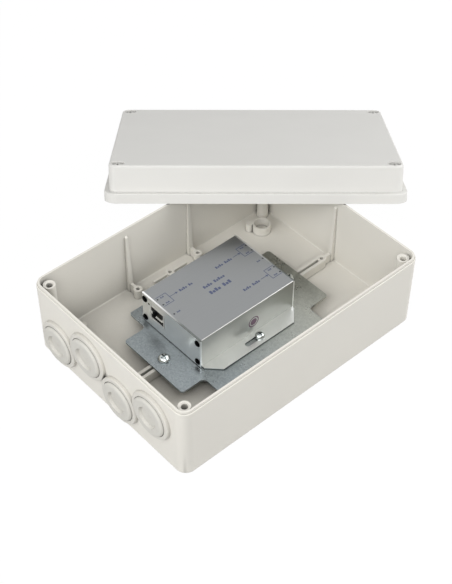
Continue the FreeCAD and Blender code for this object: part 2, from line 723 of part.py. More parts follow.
def mounting_plate():
    """Cross-shaped steel plate, screwed down at both ends."""
    outline = cross_outline()
    face = rounded_face([(x, y) for x, y, _ in outline], [radius for _, _, radius in outline],
                        SUPPORT_TOP)
    plate = face.extrude(Vector(0, 0, PLATE_THICKNESS))
    low = SUPPORT_TOP - OVERRUN
    high = PLATE_TOP + OVERRUN
    holes = []
    for side in SIDES:
        holes.append(cylinder(PLATE_SCREW_DIAMETER + 2 * PLATE_HOLE_CLEARANCE,
                              PLATE_SCREW_X * side, 0, low, high))
        holes.append(cylinder(CASE_SCREW_DIAMETER + 2 * CASE_SCREW_CLEARANCE,
                              CASE_X + CASE_SCREW_OFFSET, CASE_Y + FLANGE_MID * side, low, high))
    return plate.cut(Part.makeCompound(holes))


def plate_screws():
    """Screws that hold the plate to the bosses in the tub."""
    screw = pan_screw(PLATE_SCREW_HEAD_DIAMETER, PLATE_SCREW_HEAD_HEIGHT,
                      PLATE_SCREW_DIAMETER, PLATE_SCREW_LENGTH)
    return group([placed(screw, PLATE_SCREW_X * side, 0, PLATE_TOP) for side in SIDES])


def end_screw_places():
    """Centres of the end plate's screws, across and above the case's underside."""
    y = CASE_WIDTH / 2 - END_SCREW_INSET_Y
    heights = (END_SCREW_INSET_Z, CASE_HEIGHT - END_SCREW_INSET_Z)
    return [(y * side, height) for side in SIDES for height in heights]


def slot_tool(y):
    """Tool for one slot along a mounting flange."""
    straight = SLOT_LENGTH - SLOT_WIDTH
    low = -OVERRUN
    high = FLANGE_THICKNESS + OVERRUN
    middle = box(-straight / 2, straight / 2, y - SLOT_WIDTH / 2, y + SLOT_WIDTH / 2, low, high)
    ends = [cylinder(SLOT_WIDTH, straight / 2 * side, y, low, high) for side in SIDES]
    return middle.multiFuse(ends)


def case_section():
    """Section of the extruded case: tube, card guides, screw ports and flanges."""
    half = TUBE_LENGTH / 2
    inner_half = CASE_WIDTH / 2 - CASE_WALL
    tube = box(-half, half, -CASE_WIDTH / 2, CASE_WIDTH / 2, 0, CASE_HEIGHT)
    top_edges = [edge for edge in tube.Edges
                 if edge.BoundBox.XLength > half and edge.BoundBox.ZMin > CASE_HEIGHT / 2]
    tube = tube.makeFillet(CASE_EDGE_RADIUS, top_edges)
    hollow = box(-half - OVERRUN, half + OVERRUN, -inner_half, inner_half,
                 FLANGE_THICKNESS, CASE_HEIGHT - CASE_WALL)
    pieces = [tube.cut(hollow)]
    pieces.append(flange_sheet())
    for side in SIDES:
        y0, y1 = sorted((inner_half * side + ROOT * side, (inner_half - CARD_GUIDE_DEPTH) * side))
        for z in (BOARD_HEIGHT - CARD_GUIDE_HEIGHT,
                  BOARD_HEIGHT + BOARD_THICKNESS + BOARD_SIDE_CLEARANCE):
            pieces.append(box(-half, half, y0, y1, z, z + CARD_GUIDE_HEIGHT))
    for y, z in end_screw_places():
        port = Part.makeCylinder(SCREW_PORT_DIAMETER / 2, TUBE_LENGTH, Vector(-half, y, z), X_AXIS)
        pieces.append(port)
    return fuse(pieces)


def flange_sheet():
    """Bottom sheet of the case, whose flanges have their corners cut off."""
    half = TUBE_LENGTH / 2
    outer = CASE_WIDTH / 2 + FLANGE_WIDTH
    quarter = [(half, outer - FLANGE_CHAMFER), (half - FLANGE_CHAMFER, outer)]
    outline = quarter + [(-x, y) for x, y in reversed(quarter)]
    outline += [(-x, -y) for x, y in quarter] + [(x, -y) for x, y in reversed(quarter)]
    points = [Vector(x, y, 0) for x, y in outline]
    face = Part.Face(Part.makePolygon(points + points[:1]))
    return face.extrude(Vector(0, 0, FLANGE_THICKNESS))


def module_case():
    """Aluminium case of the extender."""
    half = TUBE_LENGTH / 2
    tools = [slot_tool(FLANGE_MID * side) for side in SIDES]
    hole = END_SCREW_DIAMETER / 2 + END_SCREW_CLEARANCE
    for y, z in end_screw_places():
        tools.append(Part.makeCylinder(hole, TUBE_LENGTH + 2 * OVERRUN,
                                       Vector(-half - OVERRUN, y, z), X_AXIS))
    case = case_section().cut(Part.makeCompound(tools))
    return placed(case, CASE_X, CASE_Y, CASE_BOTTOM)


def end_plate(side, jack_places):
    """End plate with an opening for each socket, a lamp hole beside it and four screw holes."""
    inside = TUBE_LENGTH / 2 * side
    x0, x1 = sorted((inside, inside + END_PLATE_THICKNESS * side))
    plate = box(x0, x1, -CASE_WIDTH / 2, CASE_WIDTH / 2, END_PLATE_GAP, CASE_HEIGHT)
    face_x = inside + END_PLATE_THICKNESS * side
    rim = [edge for edge in plate.Edges
           if abs(edge.BoundBox.XMin - face_x) < SAME_PLACE
           and abs(edge.BoundBox.XMax - face_x) < SAME_PLACE]
    plate = plate.makeFillet(END_PLATE_EDGE_RADIUS, rim)
    half_width = JACK_WIDTH / 2 + JACK_CUTOUT_CLEARANCE
    bottom = JACK_BOTTOM - CASE_BOTTOM - JACK_CUTOUT_CLEARANCE
    top = bottom + JACK_HEIGHT + 2 * JACK_CUTOUT_CLEARANCE
    lamp_radius = LAMP_DIAMETER / 2 + LAMP_HOLE_CLEARANCE
    thread_radius = END_SCREW_DIAMETER / 2 + END_SCREW_CLEARANCE
    tools = []
    for y in jack_places:
        tools.append(box(x0 - OVERRUN, x1 + OVERRUN, y - half_width, y + half_width, bottom, top))
        tools.append(Part.makeCylinder(lamp_radius, END_PLATE_THICKNESS + 2 * OVERRUN,
                                       Vector(x0 - OVERRUN, lamp_y(y), LAMP_Z - CASE_BOTTOM),
                                       X_AXIS))
    for y, z in end_screw_places():
        tools.append(Part.makeCylinder(thread_radius, END_PLATE_THICKNESS + 2 * OVERRUN,
                                       Vector(x0 - OVERRUN, y, z), X_AXIS))
    return placed(plate.cut(Part.makeCompound(tools)), CASE_X, CASE_Y, CASE_BOTTOM)


def lamp_y(jack_y):
    """Place across the case of the lamp that belongs to a socket, on its outer side."""
    outward = 1 if jack_y > 0 else -1
    return jack_y + outward * (JACK_WIDTH / 2 + JACK_CUTOUT_CLEARANCE + LAMP_SIDE_GAP
                               + LAMP_DIAMETER / 2)


def end_screws(side):
    """Black screws of one end plate."""
    face_x = CASE_X + CASE_LENGTH / 2 * side
    screw = pan_screw(END_SCREW_HEAD_DIAMETER, END_SCREW_HEAD_HEIGHT,
                      END_SCREW_DIAMETER, END_SCREW_LENGTH)
    screw.rotate(Vector(0, 0, 0), Y_AXIS, 90 * side)
    return group([placed(screw, face_x, CASE_Y + y, CASE_BOTTOM + z)
                  for y, z in end_screw_places()])


def module_screws():
    """Screws through the flange slots into the plate."""
    screw = pan_screw(CASE_SCREW_HEAD_DIAMETER, CASE_SCREW_HEAD_HEIGHT, CASE_SCREW_DIAMETER,
                      FLANGE_THICKNESS + PLATE_THICKNESS + CASE_SCREW_REACH)
    return group([placed(screw, CASE_X + CASE_SCREW_OFFSET, CASE_Y + FLANGE_MID * side,
                         CASE_BOTTOM + FLANGE_THICKNESS) for side in SIDES])


def circuit_board():
    """Board that slides into the case's card guides."""
    half_x = TUBE_LENGTH / 2 - BOARD_END_CLEARANCE
    half_y = CASE_WIDTH / 2 - CASE_WALL - BOARD_SIDE_CLEARANCE
    board = box(-half_x, half_x, -half_y, half_y, 0, BOARD_THICKNESS)
    return placed(board, CASE_X, CASE_Y, BOARD_BOTTOM)


def jack_block(width, height, bottom, depth0, depth1):
    """Block in a socket's own frame, where depth grows away from its face along +X."""
    return box(depth0, depth1, -width / 2, width / 2, bottom, bottom + height)


def jack_shield():
    """Folded metal shell, open at the face between two side lips that each end in a spring."""
    inner_width = JACK_WIDTH - 2 * SHIELD_THICKNESS
    inner_height = JACK_HEIGHT - 2 * SHIELD_THICKNESS
    mouth_width = JACK_WIDTH - 2 * SHIELD_LIP_WIDTH
    shell = jack_block(JACK_WIDTH, JACK_HEIGHT, 0, 0, JACK_DEPTH)
    shell = shell.cut(jack_block(inner_width, inner_height, SHIELD_THICKNESS,
                                 SHIELD_THICKNESS, JACK_DEPTH - SHIELD_THICKNESS))
    mouth = jack_block(mouth_width, inner_height, SHIELD_THICKNESS, -OVERRUN, 2 * SHIELD_THICKNESS)
    springs = jack_block(mouth_width, SPRING_HEIGHT, (JACK_HEIGHT - SPRING_HEIGHT) / 2,
                         0, SHIELD_THICKNESS)
    between = jack_block(mouth_width - 2 * SPRING_REACH, JACK_HEIGHT, 0, -OVERRUN, JACK_DEPTH)
    return shell.cut(mouth.cut(springs.cut(between)))


def jack_insert():
    """Black insert with the plug opening and the step for the plug's latch."""
    front = SHIELD_THICKNESS
    height = JACK_HEIGHT - 2 * SHIELD_THICKNESS
    insert = jack_block(JACK_WIDTH - 2 * SHIELD_THICKNESS, height, SHIELD_THICKNESS,
                        front, JACK_DEPTH - SHIELD_THICKNESS)
    opening = jack_block(PLUG_WIDTH, PLUG_HEIGHT, PLUG_FLOOR, -OVERRUN, PLUG_DEPTH)
    latch = jack_block(LATCH_WIDTH, LATCH_HEIGHT + OVERRUN, PLUG_FLOOR + PLUG_HEIGHT - OVERRUN,
                       -OVERRUN, PLUG_DEPTH)
    return insert.cut(opening.fuse(latch))


def jack_contacts():
    """Eight sprung strips that rise from the opening's floor and run on to its back."""
    low = PLUG_FLOOR
    high = PLUG_FLOOR + CONTACT_RISE
    points = [(CONTACT_START, low), (CONTACT_START + CONTACT_FOOT, low), (CONTACT_BEND, high),
              (PLUG_DEPTH, high), (PLUG_DEPTH, high + CONTACT_THICKNESS),
              (CONTACT_BEND, high + CONTACT_THICKNESS)]
    strips = []
    for index in range(CONTACT_COUNT):
        y = (index - (CONTACT_COUNT - 1) / 2) * CONTACT_PITCH - CONTACT_WIDTH / 2
        outline = [Vector(x, y, z) for x, z in points]
        face = Part.Face(Part.makePolygon(outline + outline[:1]))
        strips.append(face.extrude(Vector(0, CONTACT_WIDTH, 0)))
    return strips


def at_socket(shape, side, jack_y):
    """Move a piece from a socket's own frame to its place at one end of the case."""
    copy = shape.copy()
    if side > 0:
        copy.rotate(Vector(0, 0, 0), Z_AXIS, 180)
    face_x = CASE_X + (CASE_LENGTH / 2 + JACK_PROUD) * side
    copy.translate(Vector(face_x, CASE_Y + jack_y, JACK_BOTTOM))
    return copy


def indicator_lamps(sockets):
    """Status lamp beside each socket, on two legs that stand on the board."""
    lamps = []
    length = LAMP_LENGTH + END_PLATE_THICKNESS
    for side, jack_y in sockets:
        start = CASE_X + CASE_LENGTH / 2 * side
        y = CASE_Y + lamp_y(jack_y)
        lamp = Part.makeCylinder(LAMP_DIAMETER / 2, length, Vector(start, y, LAMP_Z),
                                 X_AXIS * -side)
        back = start - length * side
        x0, x1 = sorted((back, back + LAMP_LEG * side))
        leg = LAMP_DIAMETER / 2
        legs = [box(x0, x1, y - leg, y - leg + LAMP_LEG, BOARD_TOP, LAMP_Z),
                box(x0, x1, y + leg - LAMP_LEG, y + leg, BOARD_TOP, LAMP_Z)]
        lamps.append(lamp.multiFuse(legs).removeSplitter())
    return group(lamps)


def network_transformers(sockets):
    """Signal transformer behind each socket."""
    blocks = []
    for side, jack_y in sockets:
        block = box(-TRANSFORMER_WIDTH / 2, TRANSFORMER_WIDTH / 2, -TRANSFORMER_LENGTH / 2,
                    TRANSFORMER_LENGTH / 2, 0, TRANSFORMER_HEIGHT)
        block = block.makeChamfer(TRANSFORMER_EDGE, edges_at_height(block, TRANSFORMER_HEIGHT))
        blocks.append(placed(block, CASE_X + TRANSFORMER_X * side, CASE_Y + jack_y, BOARD_TOP))
    return group(blocks)


def power_inductor():
    """Drum-core choke of the voltage converter."""
    flange = INDUCTOR_SIZE / 2
    waist = INDUCTOR_WAIST / 2
    upper = INDUCTOR_HEIGHT - INDUCTOR_FLANGE
    points = [(0, 0, 0), (flange, 0, 0), (flange, 0, INDUCTOR_FLANGE), (waist, 0, INDUCTOR_FLANGE),
              (waist, 0, upper), (flange, 0, upper), (flange, 0, INDUCTOR_HEIGHT),
              (0, 0, INDUCTOR_HEIGHT)]
    core = turned(closed_profile(points), Vector(0, 0, 0), Z_AXIS)
    return placed(core, CASE_X - INDUCTOR_OFFSET, CASE_Y + INDUCTOR_Y, BOARD_TOP)


def smoothing_capacitors():
    """Pair of upright capacitors next to the inlet's transformer."""
    can = cylinder(CAPACITOR_DIAMETER, 0, 0, 0, CAPACITOR_HEIGHT)
    can = can.makeChamfer(CAPACITOR_EDGE, edges_at_height(can, CAPACITOR_HEIGHT))
    return group([placed(can, CASE_X + CAPACITOR_X, CASE_Y + CAPACITOR_Y - CAPACITOR_SPACING * step,
                         BOARD_TOP) for step in (0, 1)])


def controller_chip():
    """Flat controller package with bevelled top edges."""
    half = CHIP_SIZE / 2
    chip = box(-half, half, -half, half, 0, CHIP_HEIGHT)
    chip = chip.makeChamfer(CHIP_BEVEL, edges_at_height(chip, CHIP_HEIGHT))
    return placed(chip, CASE_X + CHIP_X, CASE_Y, BOARD_TOP)


def bridge_rectifiers():
    """Pair of small rectifier packages."""
    body = box(-RECTIFIER_LENGTH / 2, RECTIFIER_LENGTH / 2, -RECTIFIER_WIDTH / 2,
               RECTIFIER_WIDTH / 2, 0, RECTIFIER_HEIGHT)
    return group([placed(body, CASE_X, CASE_Y + RECTIFIER_Y + RECTIFIER_SPACING / 2 * side,
                         BOARD_TOP) for side in SIDES])


INLET_JACKS = [JACK_OFFSET]
OUTLET_JACKS = [JACK_OFFSET, -JACK_OFFSET]
SOCKETS = [(-1, y) for y in INLET_JACKS] + [(1, y) for y in OUTLET_JACKS]


def build():
    """All pieces by name."""
    return {
        "enclosure_base": enclosure_base(),
        "cable_entry_grommets": cable_entry_grommets(),
        "enclosure_lid": enclosure_lid(),
        "lid_gasket": lid_gasket(),
        "lid_screws": lid_screws(),
        "mounting_plate": mounting_plate(),
        "plate_screws": plate_screws(),
        "module_case": module_case(),
        "module_screws": module_screws(),
        "inlet_end_plate": end_plate(-1, INLET_JACKS),
        "outlet_end_plate": end_plate(1, OUTLET_JACKS),
        "inlet_end_screws": end_screws(-1),
        "outlet_end_screws": end_screws(1),
        "circuit_board": circuit_board(),
        "inlet_jack_shield": at_socket(jack_shield(), -1, JACK_OFFSET),
        "inlet_jack_insert": at_socket(jack_insert(), -1, JACK_OFFSET),
        "outlet_jack_shields": group([at_socket(jack_shield(), 1, y) for y in OUTLET_JACKS]),
        "outlet_jack_inserts": group([at_socket(jack_insert(), 1, y) for y in OUTLET_JACKS]),
        "jack_contacts": group([at_socket(strip, side, y) for side, y in SOCKETS
                                for strip in jack_contacts()]),
        "indicator_lamps": indicator_lamps(SOCKETS),
        "network_transformers": network_transformers(SOCKETS),
        "power_inductor": power_inductor(),
        "smoothing_capacitors": smoothing_capacitors(),
        "controller_chip": controller_chip(),
        "bridge_rectifiers": bridge_rectifiers(),
    }


os.makedirs("parts", exist_ok=True)
for name, shape in build().items():
    shape.exportStep("parts/" + name + ".step")
    print(name, len(shape.Solids), round(shape.Volume, 1), shape.isValid())
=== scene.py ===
import json
import math

import bpy
from bpy.props import FloatProperty, FloatVectorProperty, PointerProperty
from mathutils import Matrix, Vector

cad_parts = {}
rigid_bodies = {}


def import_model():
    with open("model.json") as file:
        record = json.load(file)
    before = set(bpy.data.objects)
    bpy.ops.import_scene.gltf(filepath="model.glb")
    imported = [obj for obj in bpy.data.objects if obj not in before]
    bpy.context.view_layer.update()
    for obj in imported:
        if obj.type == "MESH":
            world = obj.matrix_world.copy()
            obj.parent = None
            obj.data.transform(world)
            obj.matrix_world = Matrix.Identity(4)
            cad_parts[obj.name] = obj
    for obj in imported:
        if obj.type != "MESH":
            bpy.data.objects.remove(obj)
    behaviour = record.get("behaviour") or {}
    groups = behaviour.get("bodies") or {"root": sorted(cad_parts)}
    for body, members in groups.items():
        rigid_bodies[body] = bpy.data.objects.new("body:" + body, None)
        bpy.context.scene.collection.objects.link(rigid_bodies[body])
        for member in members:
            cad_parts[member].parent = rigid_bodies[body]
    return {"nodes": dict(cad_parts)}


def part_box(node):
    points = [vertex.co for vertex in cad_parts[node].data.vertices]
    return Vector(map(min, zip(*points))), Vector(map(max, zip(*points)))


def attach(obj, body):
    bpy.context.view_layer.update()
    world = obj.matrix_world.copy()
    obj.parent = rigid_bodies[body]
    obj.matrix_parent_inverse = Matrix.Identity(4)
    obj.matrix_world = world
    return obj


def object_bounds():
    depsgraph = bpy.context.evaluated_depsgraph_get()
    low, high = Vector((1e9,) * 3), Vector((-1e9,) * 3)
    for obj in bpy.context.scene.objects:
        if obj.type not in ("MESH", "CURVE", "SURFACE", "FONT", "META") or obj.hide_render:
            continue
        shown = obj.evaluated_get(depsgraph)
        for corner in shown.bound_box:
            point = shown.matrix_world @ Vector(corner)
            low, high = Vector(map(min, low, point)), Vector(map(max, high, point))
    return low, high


bl_info = {
    "name": "Network extender in a junction box",
    "version": (1, 0, 0),
    "blender": (4, 5, 0),
    "location": "View3D > Sidebar > Extender",
    "description": "Finishes, print and studio for a network extender in an open junction box",
    "category": "Object",
}

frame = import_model()
CAD_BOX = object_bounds()
MM = 0.001
SIDES = (-1, 1)
CASE_LOW, CASE_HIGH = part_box("module_case")
NEAR_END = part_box("inlet_end_plate")[0]
FAR_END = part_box("outlet_end_plate")[1]
PLATE_LOW, PLATE_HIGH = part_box("mounting_plate")
TUB_LOW, TUB_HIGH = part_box("enclosure_base")
CONTACTS_LOW, CONTACTS_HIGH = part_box("jack_contacts")

# Display values of a colour: the largest one, and the power that makes them linear.
DISPLAY_WHITE = 255
DISPLAY_POWER = 2.2

# Paint: the range that most of a noise lies in, half the height of a step from one band to the
# next, and the depth of the finest relief.
NOISE_LOW = 0.3
NOISE_HIGH = 0.7
STEP_HALF = 0.05 * MM
FINE_RELIEF = 0.01 * MM

# Painted shade and painted highlight by the distance to other faces: its rays, the share of open
# paint that is left in the deepest corner, and the shares of the painted highlight along an edge
# and away from it.
SHADE_RAYS = 8
CORNER_OPEN = 0.1
EDGE_OPEN = 0.35
EDGE_HIGHEST = 0.9

# Tub: width of the step to the painted shade of the collars at their foot, places in the side walls
# and in the entry wall from which its painted inner shade starts, and the share of the case where
# it has gone.
COLLAR_STEP = 0.7 * MM
SIDE_WALL_OUT = 1.5 * MM
SIDE_WALL_IN = 2.5 * MM
ENTRY_WALL_OUT = 4.5 * MM
ENTRY_WALL_IN = 5.5 * MM
TUB_SHADE_END = 0.2

# Plate: shares of its two halves where the change to the painted light of its far end starts and
# ends, and the share of the case where the soft painted shade on its near arm has gone.
PLATE_LIGHT_START = 0.5
PLATE_LIGHT_END = 0.7
PLATE_SHADE_END = 0.5

# Heights on the case that its finish follows: the edge of a flange, painted in shade, the flange's
# top face, the rounding along the top, painted with a highlight, and the share of the rounding that
# is brushed with the top.
FLANGE_EDGE = 1.2 * MM
FLANGE_TOP = 1.65 * MM
TOP_ROUND = 0.5 * MM
TOP_SHARE = 0.1

# Contacts: from an end to where the painted shade starts, and to where the painted highlight on the
# tip is full.
TIP_START = 1.1 * MM
TIP_END = 1.0 * MM

# Points round the printed dots, the stamp and the membrane nubs.
DOT_POINTS = 20
STAMP_POINTS = 48
PIP_POINTS = 24

# Plain labels: step from block to block and a block's width as shares of the label's height and
# the step, height of the low blocks, number of blocks to a word with its gap, and tall blocks.
LABEL_STEP = 0.75
LABEL_FILL = 0.78
LABEL_SHORT = 0.66
LABEL_WORD = 5
LABEL_TALL = (0, 2)
BLOCK_CUT = 0.3

# Labels of the far ports against the near one, and the heights of the two middle labels.
FAR_LABEL = 1.2
TITLE_SHARES = (0.8, 1.0)

# Cable entries in a row that goes up and down.
ENTRY_COUNT = 4
ENTRY_PITCH = 36.9 * MM

# Studio: places of the lamps, the floor's size, height, paint and brightness, and the camera's
# sensor in millimetres and the end of its view.
LEFT_LAMP = (-1.1, 0.0, 0.88)
RIGHT_LAMP = (1.1, -0.5, 0.6)
FRONT_LAMP = (-0.5, -0.72, 0.95)
FLOOR_SIZE = 12
FLOOR_HEIGHT = -0.5 * MM
FLOOR_PAINT = 0.5
FLOOR_GLOW = 1.02
SENSOR_WIDTH = 36
VIEW_END = 20


def display_colour(red, green, blue):
    """Linear colour of a paint given by its display values from 0 to 255."""
    return tuple(pow(value / DISPLAY_WHITE, DISPLAY_POWER) for value in (red, green, blue))


def length_property(name, description, default):
    """Length in millimetres that a user may change."""
    return FloatProperty(name=name, description=description, default=default * MM,
                         subtype="DISTANCE", unit="LENGTH", precision=5)


def angle_property(name, description, default):
    """Angle in degrees that a user may change."""
    return FloatProperty(name=name, description=description, default=math.radians(default),
                         subtype="ANGLE", unit="ROTATION")


def share_property(name, description, default):
    """Share between 0 and 1 that a user may change."""
    return FloatProperty(name=name, description=description, default=default, min=0, max=1,
                         subtype="FACTOR")


def power_property(name, description, default):
    """Power of a lamp in watts that a user may change."""
    return FloatProperty(name=name, description=description, default=default, min=0,
                         unit="POWER")


def colour_property(name, description, red, green, blue):
    """Paint colour that a user may change."""
    return FloatVectorProperty(name=name, description=description, subtype="COLOR", size=3,
                               min=0, max=1, default=display_colour(red, green, blue))


class ExtenderBoxFinish(bpy.types.PropertyGroup):
    """Colours and grain of the moulded box."""
    tub_colour: colour_property("Tub", "Moulded plastic of the tub", 222, 219, 211)
    lid_colour: colour_property("Lid", "Moulded plastic of the lid", 220, 219, 215)
    grommet_colour: colour_property("Grommets", "Soft rubber of the grommets", 205, 203, 196)
    gasket_colour: colour_property("Gasket", "Foam rubber under the lid", 52, 52, 52)
    grain_size: length_property("Grain", "Size of the mould's fine texture", 0.55)
    grain_depth: length_property("Grain depth", "Depth of the mould's fine texture", 0.02)
    mottle_size: length_property("Mottle", "Size of slow shifts of tone in the plastic", 45.0)
    crease_reach: length_property("Crease", "Reach of the shade in corners and grooves", 3.0)
    pip_radius: length_property("Pip radius", "Radius of the nub on a membrane", 1.5)
    pip_height: length_property("Pip height", "Height of the nub on a membrane", 0.2)
    dish_depth: length_property("Dish depth", "From a grommet's face to its membrane", 2.4)
    shade_reach: length_property("Shade", "Reach of the soft shade between walls and floor", 35.0)
    collar_depth: length_property("Collar depth", "From a collar's face to its foot", 2.7)
    # Painted shade on the collars, as a share of the tub's colour.
    collar_shade: share_property("Collars", "Tone of the collars against the tub", 0.87)


class ExtenderMetalFinish(bpy.types.PropertyGroup):
    """Colours of the sheet metal, the case and the fasteners."""
    plate_colour: colour_property("Plate", "Zinc plated steel of the cross plate", 142, 149, 152)
    # Painted light: the plate goes lighter towards its far end.
    plate_lit_far_colour: colour_property("Plate, far end", "Duller zinc at the plate's far end",
                                      176, 178, 170)
    top_colour: colour_property("Case top", "Brushed top of the case", 147, 149, 150)
    # Painted highlight along the rounded edge of the case's top.
    edge_highlight_colour: colour_property("Case edge", "Bare edge along the case's top", 220, 220, 218)
    wall_colour: colour_property("Case walls", "Polished walls of the case", 202, 204, 200)
    # Painted shade: the case walls go darker towards their far end.
    wall_shaded_far_colour: colour_property("Case walls, far", "Walls at their far end", 160, 162, 158)
    flange_colour: colour_property("Flanges", "Mounting flanges of the case", 216, 217, 214)
    end_colour: colour_property("End plates", "Satin end plates of the case", 246, 248, 248)
    # Painted reflection: the far side of an end plate's top edge is painted light.
    lit_rim_colour: colour_property("Cut edge", "Bright cut edge of an end plate", 255, 255, 255)
    # Painted shade on the flanges' edges, the near side of the end plates' top edge and the case's
    # creases.
    shade_colour: colour_property("Shaded edge", "Edges of the sheets near the floor",
                                  116, 120, 118)
    zinc_colour: colour_property("Zinc screws", "Bright zinc of the screws", 204, 210, 210)
    black_colour: colour_property("Black screws", "Black oxide of the small screws", 20, 20, 21)
    brush_width: length_property("Brush line", "Width of one line of the brushed top", 0.16)
    speckle_size: length_property("Speckle", "Size of the zinc's crystals", 1.15)
    plate_reach: length_property("Plate shade", "Reach of the case's soft shade on the plate", 24.0)
    crease_reach: length_property("Crease", "Reach of the shade in corners and recesses", 1.6)
    # Width of the painted highlight along the edges of the plate.
    highlight_reach: length_property("Edge", "Width of the brighter line along an edge", 0.5)


class ExtenderInnerFinish(bpy.types.PropertyGroup):
    """Colours of the sockets, the lamps and the board."""
    shield_colour: colour_property("Shields", "Plated shields of the sockets", 232, 232, 229)
    insert_colour: colour_property("Inserts", "Black inserts of the sockets", 9, 9, 9)
    # Painted highlight on the contact tips, and painted shade on the contacts further in.
    tip_lit_dark_colour: colour_property("Contact tips", "Darker tone of the tips", 228, 228, 222)
    tip_lit_pale_colour: colour_property("Contact tips, pale", "Paler tone of the tips", 250, 248, 240)
    wire_shade_dark_colour: colour_property("Contacts", "Darker tone of the contacts", 44, 41, 35)
    wire_shade_pale_colour: colour_property("Contacts, pale", "Paler tone of the contacts", 58, 54, 45)
    lens_colour: colour_property("Lamps", "Lenses of the lamps", 64, 72, 60)
    board_colour: colour_property("Board", "Solder mask of the board", 24, 92, 52)
    package_colour: colour_property("Packages", "Packages of the components", 30, 30, 32)
    ferrite_colour: colour_property("Ferrite", "Core of the choke", 58, 58, 60)
    can_colour: colour_property("Cans", "Sleeves of the capacitors", 120, 126, 150)


class ExtenderPrintLayout(bpy.types.PropertyGroup):
    """Inks and sizes of the print on the case."""
    ink_colour: colour_property("Ink", "Blue ink", 72, 79, 106)
    dot_colour: colour_property("Dots", "Dark ink of the lamp marks", 26, 28, 40)
    ink_thickness: length_property("Ink thickness", "Height of the ink on the metal", 0.02)
    shift: length_property("Shift", "Offset of the whole print along the case", 0.8)
    line_width: length_property("Line", "Width of a printed line", 0.5)
    port_width: length_property("Port width", "Width of a printed port outline", 11.4)
    port_depth: length_property("Port depth", "Depth of a printed port outline", 10.2)
    port_offset: length_property("Port offset", "Distance of a port from the middle", 16.4)
    end_margin: length_property("Margin", "Gap from a printed port to the case's end", 2.2)
    arrow_length: length_property("Arrow", "Length of an arrow with its head", 7.8)
    head_length: length_property("Arrow head", "Length of an arrow's head", 2.0)
    head_width: length_property("Head width", "Width of an arrow's head", 2.4)
    dot_radius: length_property("Dot", "Radius of a lamp mark", 0.75)
    dot_inset: length_property("Dot inset", "Gap from a lamp mark to the case's end", 3.0)
    row_offset: length_property("Row", "Distance of a lamp mark from its port's middle", 3.5)
    tag_gap: length_property("Tag gap", "From a lamp mark to its tag", 2.6)
    tag_length: length_property("Tag", "Length of the tag beside a lamp mark", 3.8)
    tag_height: length_property("Tag height", "Height of the tag beside a lamp mark", 1.5)
    label_gap: length_property("Label gap", "From an arrow to its label", 1.6)
    label_length: length_property("Label", "Length of the near port's label", 14.0)
    label_height: length_property("Label height", "Height of a port's label", 2.5)
    title_length: length_property("Title", "Length of the two middle labels", 22.5)
    title_height: length_property("Title height", "Height of the larger middle label", 3.6)
    title_y: length_property("Title place", "From the case's middle to the upper label", 6.2)
    title_step: length_property("Title step", "Between the two middle labels", 7.6)
    stamp_colour: colour_property("Stamp", "Violet ink of the round stamp", 104, 80, 98)
    stamp_radius: length_property("Stamp radius", "Radius of the round stamp on the wall", 5.3)
    stamp_line: length_property("Stamp line", "Width of the stamp's ring and its gap", 1.05)
    stamp_x: length_property("Stamp place", "From the case's middle to the stamp", 5.6)
    stamp_drop: length_property("Stamp drop", "From the case's top to the stamp's middle", 16.8)


class ExtenderStudio(bpy.types.PropertyGroup):
    """Camera and lamps."""
    lens: FloatProperty(name="Lens", description="Focal length in millimetres", default=78.453,
                        unit="CAMERA")
    azimuth: angle_property("Azimuth", "Turn of the camera about the object", -41.91)
    elevation: angle_property("Elevation", "Angle of the camera above the table", 45.662)
    roll: angle_property("Roll", "Turn of the camera about its own axis", 0.301)
    distance: length_property("Distance", "From the camera to the point that it looks at", 965.56)
    aim: FloatVectorProperty(name="Aim", description="Point that the camera looks at", size=3,
                             default=(-10.775 * MM, -9.761 * MM, 56.719 * MM),
                             subtype="TRANSLATION", unit="LENGTH")
    left_power: power_property("Left lamp", "Power of the left lamp", 10.4)
    right_power: power_property("Right lamp", "Power of the right lamp", 11.0)
    front_power: power_property("Front lamp", "Power of the front lamp", 6.2)
    lamp_size: length_property("Lamp size", "Side of each square lamp", 900.0)
    sky_strength: share_property("Sky", "Strength of the even light", 0.35)
    shadow_share: share_property("Shadow", "Share of the floor's own shading", 0.03)


# Node helpers

def start_material(name):
    """New node material with its tree and its shader."""
    material = bpy.data.materials.new(name)
    material.use_nodes = True
    return material, material.node_tree, material.node_tree.nodes["Principled BSDF"]


def object_point(tree, stretch=(1, 1, 1)):
    """Place on the object in metres, stretched along its axes."""
    place = tree.nodes.new("ShaderNodeTexCoord").outputs["Object"]
    if stretch == (1, 1, 1):
        return place
    mapping = tree.nodes.new("ShaderNodeMapping")
    mapping.inputs["Scale"].default_value = stretch
    tree.links.new(place, mapping.inputs["Vector"])
    return mapping.outputs["Vector"]


def object_axis(tree, axis):
    """Place on the object along one axis."""
    split = tree.nodes.new("ShaderNodeSeparateXYZ")
    tree.links.new(object_point(tree), split.inputs["Vector"])
    return split.outputs[axis]


def noise(tree, point, size, detail=2.0, roughness=0.5):
    """Soft noise whose features have a size in metres."""
    node = tree.nodes.new("ShaderNodeTexNoise")
    node.inputs["Scale"].default_value = 1 / size
    node.inputs["Detail"].default_value = detail
    node.inputs["Roughness"].default_value = roughness
    tree.links.new(point, node.inputs["Vector"])
    return node.outputs["Fac"]


def cells(tree, point, size):
    """Flat cells, each with its own random colour."""
    node = tree.nodes.new("ShaderNodeTexVoronoi")
    node.inputs["Scale"].default_value = 1 / size
    tree.links.new(point, node.inputs["Vector"])
    return node.outputs["Color"]


